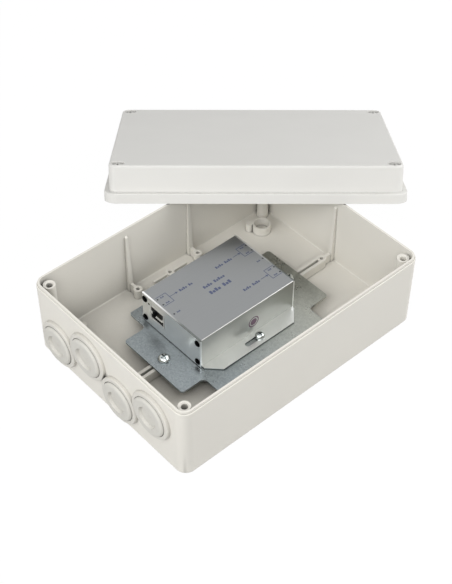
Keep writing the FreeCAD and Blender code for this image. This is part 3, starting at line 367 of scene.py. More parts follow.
def remap(tree, value, low, high, start=0.0, end=1.0):
    """Value moved from one range to another."""
    node = tree.nodes.new("ShaderNodeMapRange")
    node.inputs["From Min"].default_value = start
    node.inputs["From Max"].default_value = end
    node.inputs["To Min"].default_value = low
    node.inputs["To Max"].default_value = high
    tree.links.new(value, node.inputs["Value"])
    return node.outputs["Result"]


def spread(tree, value, low, high):
    """Noise moved from the range that most of it lies in to another."""
    return remap(tree, value, low, high, NOISE_LOW, NOISE_HIGH)


def calculate(tree, kind, first, second):
    """Sum, product or other operation on two values, the second of which may be a number."""
    node = tree.nodes.new("ShaderNodeMath")
    node.operation = kind
    tree.links.new(first, node.inputs[0])
    if isinstance(second, (int, float)):
        node.inputs[1].default_value = second
    else:
        tree.links.new(second, node.inputs[1])
    return node.outputs["Value"]


def mixed_colour(tree, share, first, second):
    """Colour between two others."""
    node = tree.nodes.new("ShaderNodeMix")
    node.data_type = "RGBA"
    tree.links.new(share, node.inputs["Factor"])
    for name, colour in (("A", first), ("B", second)):
        socket = [entry for entry in node.inputs if entry.name == name and entry.type == "RGBA"][0]
        if isinstance(colour, bpy.types.NodeSocket):
            tree.links.new(colour, socket)
        else:
            socket.default_value = (*colour, 1)
    return [entry for entry in node.outputs if entry.type == "RGBA"][0]


def tinted(colour, factor):
    """Colour made lighter or darker by a factor."""
    return tuple(min(value * factor, 1) for value in colour)


def mottled(tree, share, colour, darker, lighter):
    """Paint between a darker and a lighter tint of one colour."""
    return mixed_colour(tree, share, tinted(colour, darker), tinted(colour, lighter))


def place_share(tree, axis, start, end):
    """Share that goes from 0 before one place along an axis to 1 after another."""
    return remap(tree, object_axis(tree, axis), 0, 1, start, end)


def height_mask(tree, height):
    """Share that goes from 0 below a height to 1 above it."""
    return place_share(tree, "Z", height - STEP_HALF, height + STEP_HALF)


def add_bump(tree, shader, value, depth, strength):
    """Fine relief whose depth is a length in metres."""
    bump = tree.nodes.new("ShaderNodeBump")
    bump.inputs["Distance"].default_value = depth
    bump.inputs["Strength"].default_value = strength
    tree.links.new(value, bump.inputs["Height"])
    tree.links.new(bump.outputs["Normal"], shader.inputs["Normal"])


def closeness(tree, reach, inside=False):
    """1 on open faces, less near a corner or, from the inside, near an edge."""
    node = tree.nodes.new("ShaderNodeAmbientOcclusion")
    node.samples = SHADE_RAYS
    node.inside = inside
    node.inputs["Distance"].default_value = reach
    return node.outputs["AO"]


def with_painted_shade(tree, paint, colour, reach, darkest=0.1, highest=0.75):
    """Paint with painted shade that goes darker in corners, grooves and recesses."""
    share = remap(tree, closeness(tree, reach), 0, 1, CORNER_OPEN, highest)
    return mixed_colour(tree, share, tinted(colour, darkest), paint)


def with_painted_highlight(tree, paint, colour, reach, brightest=1.5):
    """Paint with a painted highlight that goes lighter along edges."""
    share = remap(tree, closeness(tree, reach, True), 0, 1, EDGE_OPEN, EDGE_HIGHEST)
    return mixed_colour(tree, share, tinted(colour, brightest), paint)


def finish_shader(tree, shader, paint, rough, metallic=0.0):
    """Give a shader its paint, its roughness, which may be a number, and its metal."""
    tree.links.new(paint, shader.inputs["Base Color"])
    if isinstance(rough, float):
        shader.inputs["Roughness"].default_value = rough
    else:
        tree.links.new(rough, shader.inputs["Roughness"])
    shader.inputs["Metallic"].default_value = metallic


def seen_share(tree):
    """1 where the camera, a reflection or a clear piece looks at the surface, 0 for its light."""
    path = tree.nodes.new("ShaderNodeLightPath")
    seen = calculate(tree, "MAXIMUM", path.outputs["Is Camera Ray"], path.outputs["Is Glossy Ray"])
    return calculate(tree, "MAXIMUM", seen, path.outputs["Is Transmission Ray"])


def give(material, *nodes):
    """Put a material on CAD nodes."""
    for name in nodes:
        mesh = frame["nodes"][name].data
        mesh.materials.clear()
        mesh.materials.append(material)


# Materials

def tub_shades(tree, paint, colour, finish):
    """Paint of the tub, with painted shade on the collars and a soft painted shade inside its near
    end.
    """
    foot = TUB_LOW.x + finish.collar_depth
    # Painted shade on the collars.
    share = place_share(tree, "X", foot - COLLAR_STEP, foot)
    paint = mixed_colour(tree, share, tinted(colour, finish.collar_shade), paint)
    # Soft painted shade inside the tub, kept to its near end.
    deep = with_painted_shade(tree, paint, colour, finish.shade_reach, darkest=0.45, highest=0.9)
    side = calculate(tree, "ABSOLUTE", object_axis(tree, "Y"), 0)
    inside = remap(tree, side, 1, 0, TUB_HIGH.y - SIDE_WALL_IN, TUB_HIGH.y - SIDE_WALL_OUT)
    for start, end in ((TUB_LOW.x + ENTRY_WALL_OUT, TUB_LOW.x + ENTRY_WALL_IN),
                       (CASE_HIGH.x * TUB_SHADE_END, CASE_LOW.x)):
        inside = calculate(tree, "MULTIPLY", inside, place_share(tree, "X", start, end))
    return mixed_colour(tree, inside, paint, deep)


def moulded_plastic(name, colour, finish, darkest, shades=None):
    """Satin moulded plastic with a fine mould texture, slow shifts of tone and painted shade in its
    corners and grooves.
    """
    material, tree, shader = start_material(name)
    point = object_point(tree)
    mottle = noise(tree, point, finish.mottle_size, detail=3)
    grain = noise(tree, point, finish.grain_size, detail=3, roughness=0.6)
    tone = calculate(tree, "ADD", remap(tree, mottle, 0, 0.8), remap(tree, grain, 0, 0.2))
    paint = mottled(tree, tone, colour, 0.965, 1.03)
    if shades:
        paint = shades(tree, paint, colour, finish)
    paint = with_painted_shade(tree, paint, colour, finish.crease_reach, darkest)
    finish_shader(tree, shader, paint, spread(tree, grain, 0.4, 0.54))
    shader.inputs["Specular IOR Level"].default_value = 0.3
    add_bump(tree, shader, grain, finish.grain_depth, strength=0.5)
    return material


def soft_rubber(name, colour, finish, gloss=0.25):
    """Matt rubber with a dusty bloom and painted shade in its corners and grooves."""
    material, tree, shader = start_material(name)
    point = object_point(tree)
    bloom = noise(tree, point, finish.mottle_size / 6, detail=4, roughness=0.6)
    grain = noise(tree, point, finish.grain_size)
    paint = mottled(tree, bloom, colour, 0.95, 1.03)
    paint = with_painted_shade(tree, paint, colour, finish.crease_reach)
    finish_shader(tree, shader, paint, remap(tree, bloom, 0.55, 0.75))
    shader.inputs["Specular IOR Level"].default_value = gloss
    add_bump(tree, shader, grain, finish.grain_depth, strength=0.4)
    return material


def zinc_sheet(finish):
    """Zinc plated sheet: pale bluish crystals, clouds, a faint rolling direction, and painted
    light, shade and edge highlights.
    """
    material, tree, shader = start_material("zinc_sheet")
    point = object_point(tree)
    crystal = cells(tree, point, finish.speckle_size)
    clouds = noise(tree, point, finish.speckle_size * 14, detail=4, roughness=0.6)
    lines = noise(tree, object_point(tree, (0.04, 1, 1)), finish.brush_width * 2)
    tone = calculate(tree, "ADD", remap(tree, crystal, 0, 0.65), remap(tree, clouds, 0, 0.35))
    # Painted light: lighter towards the plate's far end.
    along = place_share(tree, "X", PLATE_LOW.x * PLATE_LIGHT_START, PLATE_HIGH.x * PLATE_LIGHT_END)
    dark = mixed_colour(tree, along, tinted(finish.plate_colour, 0.74),
                        tinted(finish.plate_lit_far_colour, 0.8))
    pale = mixed_colour(tree, along, tinted(finish.plate_colour, 1.32),
                        tinted(finish.plate_lit_far_colour, 1.18))
    paint = mixed_colour(tree, tone, dark, pale)
    # Soft painted shade of the case on the plate's near arm.
    deep = with_painted_shade(tree, paint, finish.plate_colour, finish.plate_reach, darkest=0.55,
                        highest=0.95)
    near = place_share(tree, "X", CASE_LOW.x * PLATE_SHADE_END, CASE_LOW.x)
    paint = mixed_colour(tree, near, paint, deep)
    # Painted shade in creases.
    paint = with_painted_shade(tree, paint, finish.plate_colour, finish.crease_reach)
    # Painted highlight along the plate's edges.
    paint = with_painted_highlight(tree, paint, finish.plate_colour, finish.highlight_reach)
    rough = calculate(tree, "ADD", spread(tree, clouds, 0.22, 0.36),
                      remap(tree, crystal, 0.0, 0.08))
    finish_shader(tree, shader, paint, rough, metallic=0.8)
    relief = calculate(tree, "ADD", lines, noise(tree, point, finish.speckle_size / 2))
    add_bump(tree, shader, relief, finish.brush_width / 20, strength=0.2)
    return material


def plain(colour):
    """Fade of a single colour."""
    return "X", 0, 1, colour, colour


def faded(tree, fade, factor):
    """Colour that goes from one to another along an axis, made lighter or darker."""
    axis, start, end, first, second = fade
    share = place_share(tree, axis, start, end)
    return mixed_colour(tree, share, tinted(first, factor), tinted(second, factor))


def case_metal(finish, name, bands):
    """Aluminium in bands by height, each with its lowest place, fade, roughness and grain."""
    material, tree, shader = start_material(name)
    lines = noise(tree, object_point(tree, (0.012, 1, 1)), finish.brush_width, detail=3,
                  roughness=0.6)
    haze = noise(tree, object_point(tree), 18 * MM, detail=3, roughness=0.6)
    top = height_mask(tree, CASE_HIGH.z - TOP_ROUND * TOP_SHARE)
    paint = None
    rough = None
    for start, fade, roughness, grain in bands:
        pattern = lines if grain == "brushed" else haze
        band = mixed_colour(tree, spread(tree, pattern, 0, 1), faded(tree, fade, 0.97),
                            faded(tree, fade, 1.03))
        band_rough = spread(tree, pattern, roughness * 0.9, roughness * 1.1)
        if paint is None:
            paint, rough = band, band_rough
            continue
        mask = height_mask(tree, start)
        paint = mixed_colour(tree, mask, paint, band)
        difference = calculate(tree, "SUBTRACT", band_rough, rough)
        rough = calculate(tree, "ADD", rough, calculate(tree, "MULTIPLY", difference, mask))
    # Painted shade in corners and recesses.
    paint = with_painted_shade(tree, paint, finish.shade_colour, finish.crease_reach / 2, darkest=0.5,
                         highest=0.6)
    finish_shader(tree, shader, paint, rough, metallic=0.95)
    brushed = calculate(tree, "MULTIPLY", lines, top)
    add_bump(tree, shader, brushed, finish.brush_width / 40, strength=0.12)
    return material


def plated_metal(name, colour, roughness, scratch_size, metallic=1.0, reach=0.0):
    """Plain metal with a hazy, lightly handled surface and, with a reach, painted shade in its
    recesses.
    """
    material, tree, shader = start_material(name)
    haze = noise(tree, object_point(tree), scratch_size, detail=4, roughness=0.65)
    paint = mottled(tree, haze, colour, 0.85, 1.1)
    if reach:
        paint = with_painted_shade(tree, paint, colour, reach, darkest=0.02, highest=0.85)
    rough = spread(tree, haze, roughness * 0.75, roughness * 1.3)
    finish_shader(tree, shader, paint, rough, metallic)
    add_bump(tree, shader, haze, FINE_RELIEF, strength=0.3)
    return material


def contact_metal(finish):
    """Plated spring wire with a painted highlight at its tips and painted shade further in."""
    material, tree, shader = start_material("contact_metal")
    haze = noise(tree, object_point(tree), MM, detail=3)
    near_tips = place_share(tree, "X", CONTACTS_LOW.x + TIP_START, CONTACTS_LOW.x + TIP_END)
    far_tips = place_share(tree, "X", CONTACTS_HIGH.x - TIP_START, CONTACTS_HIGH.x - TIP_END)
    # Painted highlight on the tips, painted shade on the rest of the wire.
    tips = calculate(tree, "MAXIMUM", near_tips, far_tips)
    dull = mixed_colour(tree, haze, finish.wire_shade_dark_colour, finish.wire_shade_pale_colour)
    bright = mixed_colour(tree, haze, finish.tip_lit_dark_colour, finish.tip_lit_pale_colour)
    paint = mixed_colour(tree, tips, dull, bright)
    finish_shader(tree, shader, paint, remap(tree, haze, 0.3, 0.4), metallic=0.5)
    return material


def hard_plastic(name, colour, roughness, grain_size):
    """Moulded part such as a connector body or a component's package."""
    material, tree, shader = start_material(name)
    grain = noise(tree, object_point(tree), grain_size, detail=3, roughness=0.6)
    rough = spread(tree, grain, roughness * 0.85, roughness * 1.15)
    finish_shader(tree, shader, mottled(tree, grain, colour, 0.8, 1.25), rough)
    add_bump(tree, shader, grain, grain_size / 30, strength=0.4)
    return material


def board_material(colour):
    """Solder mask over a faint woven laminate."""
    material, tree, shader = start_material("solder_mask")
    weave = tree.nodes.new("ShaderNodeTexWave")
    weave.inputs["Scale"].default_value = 1 / (2 * MM)
    tree.links.new(object_point(tree), weave.inputs["Vector"])
    finish_shader(tree, shader, mottled(tree, weave.outputs["Fac"], colour, 0.9, 1.15), 0.35)
    add_bump(tree, shader, weave.outputs["Fac"], FINE_RELIEF, strength=0.3)
    return material


def ink(name, colour):
    """Screen-printed ink of slightly uneven tone."""
    material, tree, shader = start_material(name)
    grain = noise(tree, object_point(tree), 0.4 * MM, detail=3, roughness=0.6)
    finish_shader(tree, shader, mottled(tree, grain, colour, 0.85, 1.2), 0.5)
    return material


# Modelling helpers

def deselect():
    """Leave nothing selected, so that an operator acts on its own piece only."""
    for item in bpy.context.view_layer.objects:
        item.select_set(False)


def join(pieces, name):
    """One object from several, with its place in its mesh."""
    deselect()
    for piece in pieces:
        piece.select_set(True)
    bpy.context.view_layer.objects.active = pieces[0]
    if len(pieces) > 1:
        bpy.ops.object.join()
    bpy.ops.object.transform_apply(location=True, rotation=True, scale=True)
    piece = bpy.context.view_layer.objects.active
    piece.name = name
    piece.data.name = name
    return piece


def flat_piece(name, width, depth, cut=0.0):
    """Thin sheet about the origin, open in edit mode; a cut takes its corners off."""
    deselect()
    bpy.ops.mesh.primitive_plane_add(size=1)
    piece = bpy.context.view_layer.objects.active
    piece.name = name
    piece.scale = (width, depth, 1)
    bpy.ops.object.transform_apply(location=True, rotation=True, scale=True)
    bpy.ops.object.mode_set(mode="EDIT")
    bpy.ops.mesh.select_all(action="SELECT")
    if cut:
        bpy.ops.mesh.bevel(offset=cut, segments=2, affect="VERTICES")
    return piece


def round_piece(name, points, radius):
    """Thin disc about the origin, open in edit mode."""
    deselect()
    bpy.ops.mesh.primitive_circle_add(vertices=points, radius=radius, fill_type="NGON")
    piece = bpy.context.view_layer.objects.active
    piece.name = name
    bpy.ops.object.mode_set(mode="EDIT")
    bpy.ops.mesh.select_all(action="SELECT")
    return piece


def raise_ink(piece, thickness):
    """Give the open sheet its thickness and leave edit mode."""
    bpy.ops.mesh.select_all(action="SELECT")
    bpy.ops.mesh.extrude_region_move(TRANSFORM_OT_translate={"value": (0, 0, thickness)})
    bpy.ops.mesh.select_all(action="SELECT")
    bpy.ops.mesh.normals_make_consistent(inside=False)
    bpy.ops.object.mode_set(mode="OBJECT")
    return piece


def select_faces(piece, chosen):
    """Select only the faces whose centre passes a test."""
    bpy.ops.mesh.select_all(action="DESELECT")
    bpy.ops.mesh.select_mode(type="FACE")
    bpy.ops.object.mode_set(mode="OBJECT")
    for face in piece.data.polygons:
        face.select = chosen(face.center)
    bpy.ops.object.mode_set(mode="EDIT")


def select_edges(piece, chosen):
    """Select only the edges whose middle passes a test."""
    bpy.ops.mesh.select_all(action="DESELECT")
    bpy.ops.mesh.select_mode(type="EDGE")
    bpy.ops.object.mode_set(mode="OBJECT")
    points = piece.data.vertices
    for edge in piece.data.edges:
        middle = (points[edge.vertices[0]].co + points[edge.vertices[1]].co) / 2
        edge.select = chosen(middle)
    bpy.ops.object.mode_set(mode="EDIT")


def port_bracket(layout):
    """Printed port about its middle: three sides of a frame, open towards -X."""
    piece = flat_piece("port_bracket", layout.port_depth, layout.port_width)
    bpy.ops.mesh.inset(thickness=layout.line_width, depth=0)
    reach = layout.port_depth / 2 - layout.line_width
    half = layout.port_width / 2 - layout.line_width
    select_faces(piece, lambda place: place.x < reach and abs(place.y) < half)
    bpy.ops.mesh.delete(type="FACE")
    return raise_ink(piece, layout.ink_thickness)


def port_arrow(layout):
    """Printed arrow along +X that starts at the origin."""
    shaft = layout.arrow_length - layout.head_length
    piece = flat_piece("port_arrow", shaft, layout.line_width)
    bpy.ops.transform.translate(value=(shaft / 2, 0, 0))
    select_edges(piece, lambda place: place.x > shaft - layout.line_width)
    bpy.ops.mesh.extrude_region()
    bpy.ops.transform.resize(value=(1, layout.head_width / layout.line_width, 1),
                             center_override=(shaft, 0, 0))
    bpy.ops.mesh.extrude_region_move(TRANSFORM_OT_translate={"value": (layout.head_length, 0, 0)})
    bpy.ops.mesh.merge(type="CENTER")
    return raise_ink(piece, layout.ink_thickness)


def lamp_mark(layout):
    """Printed dot about the origin."""
    piece = round_piece("lamp_mark", DOT_POINTS, layout.dot_radius)
    return raise_ink(piece, layout.ink_thickness)


def label_block(layout):
    """Printed square as high as a tag, from which plain labels are made."""
    piece = flat_piece("label_block", layout.tag_height, layout.tag_height,
                       layout.line_width * BLOCK_CUT)
    return raise_ink(piece, layout.ink_thickness)


def ring_mark(name, radius, line, thickness):
    """Printed ring about the origin with a disc inside it, with a gap as wide as the ring."""
    piece = round_piece(name, STAMP_POINTS, radius)
    for _ in range(2):
        bpy.ops.mesh.inset(thickness=line, depth=0)
    # The middle of the gap is one and a half lines from the rim.
    middle = radius - line * 1.5
    reach = line * 0.6
    select_faces(piece, lambda place: abs(place.length - middle) < reach)
    bpy.ops.mesh.delete(type="FACE")
    return raise_ink(piece, thickness)


def membrane_pip(finish):
    """Low moulded nub about the origin, whose lower half is set into its membrane."""
    piece = round_piece("membrane_pip", PIP_POINTS, finish.pip_radius)
    raise_ink(piece, finish.pip_height * 2)
    bpy.ops.object.mode_set(mode="EDIT")
    select_faces(piece, lambda place: place.z > finish.pip_height * 1.5)
    bpy.ops.mesh.bevel(offset=finish.pip_height, segments=2, affect="EDGES")
    bpy.ops.object.mode_set(mode="OBJECT")
    return piece


def copied(piece, place, turned=False, stretch=(1, 1)):
    """Copy of a piece with its own mesh, stretched, turned half round if asked, and moved."""
    copy = bpy.data.objects.new(piece.name, piece.data.copy())
    bpy.context.collection.objects.link(copy)
    matrix = Matrix.Translation(place) @ Matrix.Rotation(math.pi if turned else 0, 4, "Z")
    copy.data.transform(matrix @ Matrix.Diagonal((stretch[0], stretch[1], 1, 1)))
    return copy


def label(block, layout, start, length, height):
    """Row of plain blocks of two heights, with gaps like those between words."""
    step = height * LABEL_STEP
    count = round(length / step)
    blocks = []
    for index in range(count):
        if index % LABEL_WORD == LABEL_WORD - 1 and index < count - 1:
            continue
        rise = height * (1 if index % LABEL_WORD in LABEL_TALL else LABEL_SHORT)
        place = Vector((start.x + (index + 0.5) * step, start.y + (rise - height) / 2, start.z))
        blocks.append(copied(block, place, False,
                             (step * LABEL_FILL / layout.tag_height, rise / layout.tag_height)))
    return blocks


def case_labels(layout, block, middle):
    """Plain labels beside the ports and two larger ones in the middle of the case."""
    near_inner = NEAR_END.x + layout.end_margin + layout.port_depth + layout.shift
    far_inner = FAR_END.x - layout.end_margin - layout.port_depth + layout.shift
    reach = layout.arrow_length + layout.label_gap
    far_length = layout.label_length * FAR_LABEL
    rows = [(near_inner + reach - middle.x, layout.port_offset, layout.label_length,
             layout.label_height)]
    rows += [(far_inner - reach - far_length - middle.x, layout.port_offset * side, far_length,
              layout.label_height) for side in SIDES]
    rows += [(layout.shift - layout.title_length / 2, layout.title_y - layout.title_step * index,
              layout.title_length, layout.title_height * share)
             for index, share in enumerate(TITLE_SHARES)]
    blocks = []
    for x, y, length, height in rows:
        blocks += label(block, layout, middle + Vector((x, y, 0)), length, height)
    return blocks


def lamp_rows(layout, middle):
    """Places of the lamp marks, each with the direction from it to its tag."""
    near = NEAR_END.x + layout.dot_inset + layout.shift
    far = FAR_END.x - layout.dot_inset + layout.shift
    near_rows = [layout.port_offset + layout.row_offset * side for side in SIDES] + [0.0]
    far_rows = [layout.port_offset * port + layout.row_offset * side
                for port in SIDES for side in SIDES] + [0.0]
    rows = []
    for x, inward, offsets in ((near, 1, near_rows), (far, -1, far_rows)):
        rows += [(Vector((x, middle.y + offset, middle.z)), inward) for offset in offsets]
    return rows


# Pieces

class EXTENDER_OT_finish_box(bpy.types.Operator):
    """Give the tub, the lid, the grommets and the gasket their plastics and rubbers"""
    bl_idname = "extender.finish_box"
    bl_label = "Finish the box"

    def execute(self, context):
        finish = context.scene.extender_box
        give(moulded_plastic("tub_plastic", finish.tub_colour, finish, 0.2, tub_shades),
             "enclosure_base")
        give(moulded_plastic("lid_plastic", finish.lid_colour, finish, 0.45), "enclosure_lid")
        give(moulded_plastic("screw_plastic", finish.lid_colour, finish, 0.6), "lid_screws")
        give(soft_rubber("grommet_rubber", finish.grommet_colour, finish), "cable_entry_grommets")
        give(soft_rubber("gasket_rubber", finish.gasket_colour, finish, 0.1), "lid_gasket")
        return {"FINISHED"}


class EXTENDER_OT_add_pips(bpy.types.Operator):
    """Add the nubs at the middle of the grommets' membranes"""
    bl_idname = "extender.add_pips"
    bl_label = "Add the membrane nubs"

    def execute(self, context):
        finish = context.scene.extender_box
        first = membrane_pip(finish)
        low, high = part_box("cable_entry_grommets")
        radius = (high.y - low.y - (ENTRY_COUNT - 1) * ENTRY_PITCH) / 2
        upright = Matrix.Rotation(math.radians(-90), 4, "Y")
        pips = []
        for index in range(ENTRY_COUNT):
            height = high.z - radius if index % 2 == 0 else low.z + radius
            place = Vector((low.x + finish.dish_depth + finish.pip_height,
                            low.y + radius + index * ENTRY_PITCH, height))
            pip = copied(first, Vector((0, 0, 0)))
            pip.data.transform(Matrix.Translation(place) @ upright)
            pips.append(pip)
        bpy.data.objects.remove(first)
        pips = join(pips, "membrane_pips")
        pips.data.materials.append(soft_rubber("pip_rubber", finish.grommet_colour, finish))
        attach(pips, "root")
        return {"FINISHED"}


class EXTENDER_OT_finish_metal(bpy.types.Operator):
    """Give the plate, the case, the end plates and the screws their metals"""
    bl_idname = "extender.finish_metal"
    bl_label = "Finish the metal"

    def execute(self, context):
        finish = context.scene.extender_metal
        give(zinc_sheet(finish), "mounting_plate")
        # Painted shade: the walls go darker towards their far end.
        wall = ("X", CASE_LOW.x, CASE_HIGH.x, finish.wall_colour, finish.wall_shaded_far_colour)
        case_bands = (
            # Painted shade on the flange's outer edge.
            (CASE_LOW.z, plain(finish.shade_colour), 0.35, "hazy"),
            (CASE_LOW.z + FLANGE_EDGE, plain(finish.flange_colour), 0.3, "hazy"),
            (CASE_LOW.z + FLANGE_TOP, wall, 0.36, "hazy"),
            # Painted highlight along the rounded top edge.
            (CASE_HIGH.z - TOP_ROUND, plain(finish.edge_highlight_colour), 0.3, "hazy"),
            (CASE_HIGH.z - TOP_ROUND * TOP_SHARE, plain(finish.top_colour), 0.32, "brushed"))
        give(case_metal(finish, "case_metal", case_bands), "module_case")
        # Painted reflection on the end plates' top edge: painted shade at its near side, painted
        # light at its far side.
        rim_reflection = ("Y", NEAR_END.y * 0.2, FAR_END.y * 0.8, finish.shade_colour,
                    finish.lit_rim_colour)
        end_bands = ((CASE_LOW.z, plain(finish.end_colour), 0.3, "hazy"),
                     (CASE_HIGH.z - TOP_ROUND, rim_reflection, 0.3, "hazy"))
        give(case_metal(finish, "end_plate_metal", end_bands), "inlet_end_plate",
             "outlet_end_plate")
        give(plated_metal("bright_zinc", finish.zinc_colour, 0.16, 2 * MM,
                          reach=finish.crease_reach), "plate_screws", "module_screws")
        give(plated_metal("black_oxide", finish.black_colour, 0.38, MM), "inlet_end_screws",
             "outlet_end_screws")
        return {"FINISHED"}


class EXTENDER_OT_finish_sockets(bpy.types.Operator):
    """Give the network sockets and the lamps their metals and plastics"""
    bl_idname = "extender.finish_sockets"
    bl_label = "Finish the sockets"

    def execute(self, context):
        finish = context.scene.extender_inner
        give(plated_metal("bright_shield", finish.shield_colour, 0.3, 3 * MM, metallic=0.45),
             "inlet_jack_shield", "outlet_jack_shields")
        give(hard_plastic("socket_black", finish.insert_colour, 0.55, 0.6 * MM),
             "inlet_jack_insert", "outlet_jack_inserts")
        give(contact_metal(finish), "jack_contacts")
        give(hard_plastic("lamp_lens", finish.lens_colour, 0.2, MM), "indicator_lamps")
        return {"FINISHED"}


class EXTENDER_OT_finish_board(bpy.types.Operator):
    """Give the circuit board and its components their materials"""
    bl_idname = "extender.finish_board"
    bl_label = "Finish the board"

    def execute(self, context):
        finish = context.scene.extender_inner
        give(board_material(finish.board_colour), "circuit_board")
        give(hard_plastic("component_black", finish.package_colour, 0.5, 0.5 * MM),
             "network_transformers", "controller_chip", "bridge_rectifiers")
        give(hard_plastic("ferrite", finish.ferrite_colour, 0.7, 0.8 * MM), "power_inductor")
        give(plated_metal("capacitor_can", finish.can_colour, 0.3, 4 * MM),
             "smoothing_capacitors")
        return {"FINISHED"}


class EXTENDER_OT_print_case(bpy.types.Operator):
    """Print the port brackets, arrows, lamp marks and plain labels on the top of the case"""
    bl_idname = "extender.print_case"
    bl_label = "Print the case"

    def execute(self, context):
        layout = context.scene.extender_print
        middle = Vector(((NEAR_END.x + FAR_END.x) / 2, (NEAR_END.y + FAR_END.y) / 2, CASE_HIGH.z))
        bracket = port_bracket(layout)
        arrow = port_arrow(layout)
        dot = lamp_mark(layout)
        block = label_block(layout)
        lines = []
        inset = layout.end_margin + layout.port_depth
        ports = [(NEAR_END.x, 1, layout.port_offset)]
        ports += [(FAR_END.x, -1, layout.port_offset * side) for side in SIDES]
        for end_x, inward, offset in ports:
            y = middle.y + offset
            centre = end_x + (inset - layout.port_depth / 2) * inward + layout.shift
            inner = end_x + inset * inward + layout.shift
            tail = inner if inward > 0 else inner - layout.arrow_length
            lines.append(copied(bracket, Vector((centre, y, middle.z)), inward < 0))
            lines.append(copied(arrow, Vector((tail, y, middle.z))))
        dots = []
        for place, inward in lamp_rows(layout, middle):
            dots.append(copied(dot, place))
            tag = place + Vector((layout.tag_gap * inward, 0, 0))
            if inward < 0:
                tag.x -= layout.tag_length
            lines += label(block, layout, tag, layout.tag_length, layout.tag_height)
        lines += case_labels(layout, block, middle)
        for first in (bracket, arrow, dot, block):
            bpy.data.objects.remove(first)
        blue = join(lines, "case_print")
        blue.data.materials.append(ink("blue_ink", layout.ink_colour))
        dark = join(dots, "case_lamp_marks")
        dark.data.materials.append(ink("dark_ink", layout.dot_colour))
        for piece in (blue, dark):
            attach(piece, "root")
        return {"FINISHED"}


class EXTENDER_OT_stamp_wall(bpy.types.Operator):
    """Print a plain round stamp on the case's wall"""
    bl_idname = "extender.stamp_wall"
    bl_label = "Stamp the wall"

    def execute(self, context):
        layout = context.scene.extender_print
        first = ring_mark("wall_stamp", layout.stamp_radius, layout.stamp_line,
                          layout.ink_thickness)
        place = Vector(((NEAR_END.x + FAR_END.x) / 2 + layout.stamp_x, NEAR_END.y,
                        CASE_HIGH.z - layout.stamp_drop))
        first.data.transform(Matrix.Translation(place) @ Matrix.Rotation(math.radians(90), 4, "X"))
        stamp = join([first], "wall_stamp")
        stamp.data.materials.append(ink("violet_ink", layout.stamp_colour))
        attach(stamp, "root")
        return {"FINISHED"}


# Studio

def add_floor(studio):
    """White table top that shows only a faint share of its own shading to the camera."""
    deselect()
    bpy.ops.mesh.primitive_plane_add(size=FLOOR_SIZE, location=(0, 0, FLOOR_HEIGHT))
    floor = bpy.context.view_layer.objects.active
    floor.name = "floor"
    bpy.ops.object.transform_apply(location=True, rotation=True, scale=True)
    material, tree, shader = start_material("table_white")
    shader.inputs["Base Color"].default_value = (FLOOR_PAINT, FLOOR_PAINT, FLOOR_PAINT, 1)
    shader.inputs["Roughness"].default_value = 0.9
    shader.inputs["Specular IOR Level"].default_value = 0.0
    glow = tree.nodes.new("ShaderNodeEmission")
    glow.inputs["Strength"].default_value = FLOOR_GLOW
    share = calculate(tree, "MULTIPLY", seen_share(tree), 1 - studio.shadow_share)
    mix = tree.nodes.new("ShaderNodeMixShader")
    tree.links.new(share, mix.inputs[0])
    tree.links.new(shader.outputs[0], mix.inputs[1])
    tree.links.new(glow.outputs[0], mix.inputs[2])
    tree.links.new(mix.outputs[0], tree.nodes["Material Output"].inputs["Surface"])
    floor.data.materials.append(material)


def add_sky(studio):
    """Even white light, pure white where it is seen directly or in a reflection."""
    world = bpy.data.worlds.new("sky")
    world.use_nodes = True
    tree = world.node_tree
    background = tree.nodes["Background"]
    background.inputs["Color"].default_value = (1, 1, 1, 1)
    tree.links.new(remap(tree, seen_share(tree), studio.sky_strength, 1.0),
                   background.inputs["Strength"])
    bpy.context.scene.world = world


def add_lamp(name, place, size, power):
    """Large soft lamp that faces the middle of the object."""
    deselect()
    bpy.ops.object.light_add(type="AREA", location=place)
    lamp = bpy.context.view_layer.objects.active
    lamp.name = name
    lamp.data.size = size
    lamp.data.energy = power
    aim = (CAD_BOX[0] + CAD_BOX[1]) / 2
    lamp.rotation_euler = (aim - Vector(place)).to_track_quat("-Z", "Y").to_euler()


def add_camera(studio):
    """Camera on a sphere round the point that it looks at."""
    back = Vector((math.sin(studio.azimuth) * math.cos(studio.elevation),
                   -math.cos(studio.azimuth) * math.cos(studio.elevation),
                   math.sin(studio.elevation)))
    right = (-back).cross(Vector((0, 0, 1))).normalized()
    up = right.cross(-back)
    right_turned = right * math.cos(studio.roll) + up * math.sin(studio.roll)
    up_turned = up * math.cos(studio.roll) - right * math.sin(studio.roll)
    place = Vector(studio.aim) + back * studio.distance
    deselect()
    bpy.ops.object.camera_add()
    camera = bpy.context.view_layer.objects.active
    axes = Matrix((right_turned, up_turned, back)).transposed()
    camera.matrix_world = Matrix.Translation(place) @ axes.to_4x4()
    camera.data.lens = studio.lens
    camera.data.sensor_width = SENSOR_WIDTH
    camera.data.clip_end = VIEW_END
    bpy.context.scene.camera = camera


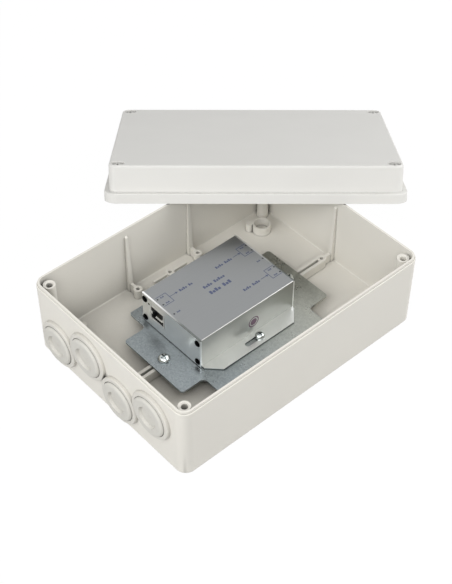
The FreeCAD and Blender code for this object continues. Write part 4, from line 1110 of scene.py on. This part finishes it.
class EXTENDER_OT_build_studio(bpy.types.Operator):
    """Set up the floor, the sky, the lamps and the camera"""
    bl_idname = "extender.build_studio"
    bl_label = "Build the studio"

    def execute(self, context):
        studio = context.scene.extender_studio
        add_floor(studio)
        add_sky(studio)
        for name, place, power in (("left_lamp", LEFT_LAMP, studio.left_power),
                                   ("right_lamp", RIGHT_LAMP, studio.right_power),
                                   ("front_lamp", FRONT_LAMP, studio.front_power)):
            add_lamp(name, place, studio.lamp_size, power)
        add_camera(studio)
        context.scene.view_settings.view_transform = "Standard"
        return {"FINISHED"}


# Add-on

GROUPS = {
    "extender_box": ExtenderBoxFinish,
    "extender_metal": ExtenderMetalFinish,
    "extender_inner": ExtenderInnerFinish,
    "extender_print": ExtenderPrintLayout,
    "extender_studio": ExtenderStudio,
}

OPERATORS = (EXTENDER_OT_finish_box, EXTENDER_OT_add_pips, EXTENDER_OT_finish_metal,
             EXTENDER_OT_finish_sockets, EXTENDER_OT_finish_board, EXTENDER_OT_print_case,
             EXTENDER_OT_stamp_wall, EXTENDER_OT_build_studio)


class EXTENDER_PT_pieces(bpy.types.Panel):
    """Buttons for every piece, and the settings of each group"""
    bl_label = "Network extender"
    bl_idname = "EXTENDER_PT_pieces"
    bl_space_type = "VIEW_3D"
    bl_region_type = "UI"
    bl_category = "Extender"

    def draw(self, context):
        for operator in OPERATORS:
            self.layout.operator(operator.bl_idname)
        for name, group in GROUPS.items():
            column = self.layout.column()
            for setting in group.__annotations__:
                column.prop(getattr(context.scene, name), setting)


def register():
    for name, group in GROUPS.items():
        bpy.utils.register_class(group)
        setattr(bpy.types.Scene, name, PointerProperty(type=group))
    for entry in OPERATORS + (EXTENDER_PT_pieces,):
        bpy.utils.register_class(entry)


def unregister():
    for entry in reversed(OPERATORS + (EXTENDER_PT_pieces,)):
        bpy.utils.unregister_class(entry)
    for name, group in GROUPS.items():
        delattr(bpy.types.Scene, name)
        bpy.utils.unregister_class(group)


def main():
    register()
    bpy.ops.extender.finish_box()
    bpy.ops.extender.add_pips()
    bpy.ops.extender.finish_metal()
    bpy.ops.extender.finish_sockets()
    bpy.ops.extender.finish_board()
    bpy.ops.extender.print_case()
    bpy.ops.extender.stamp_wall()
    bpy.ops.extender.build_studio()


if __name__ == "__main__":
    main()
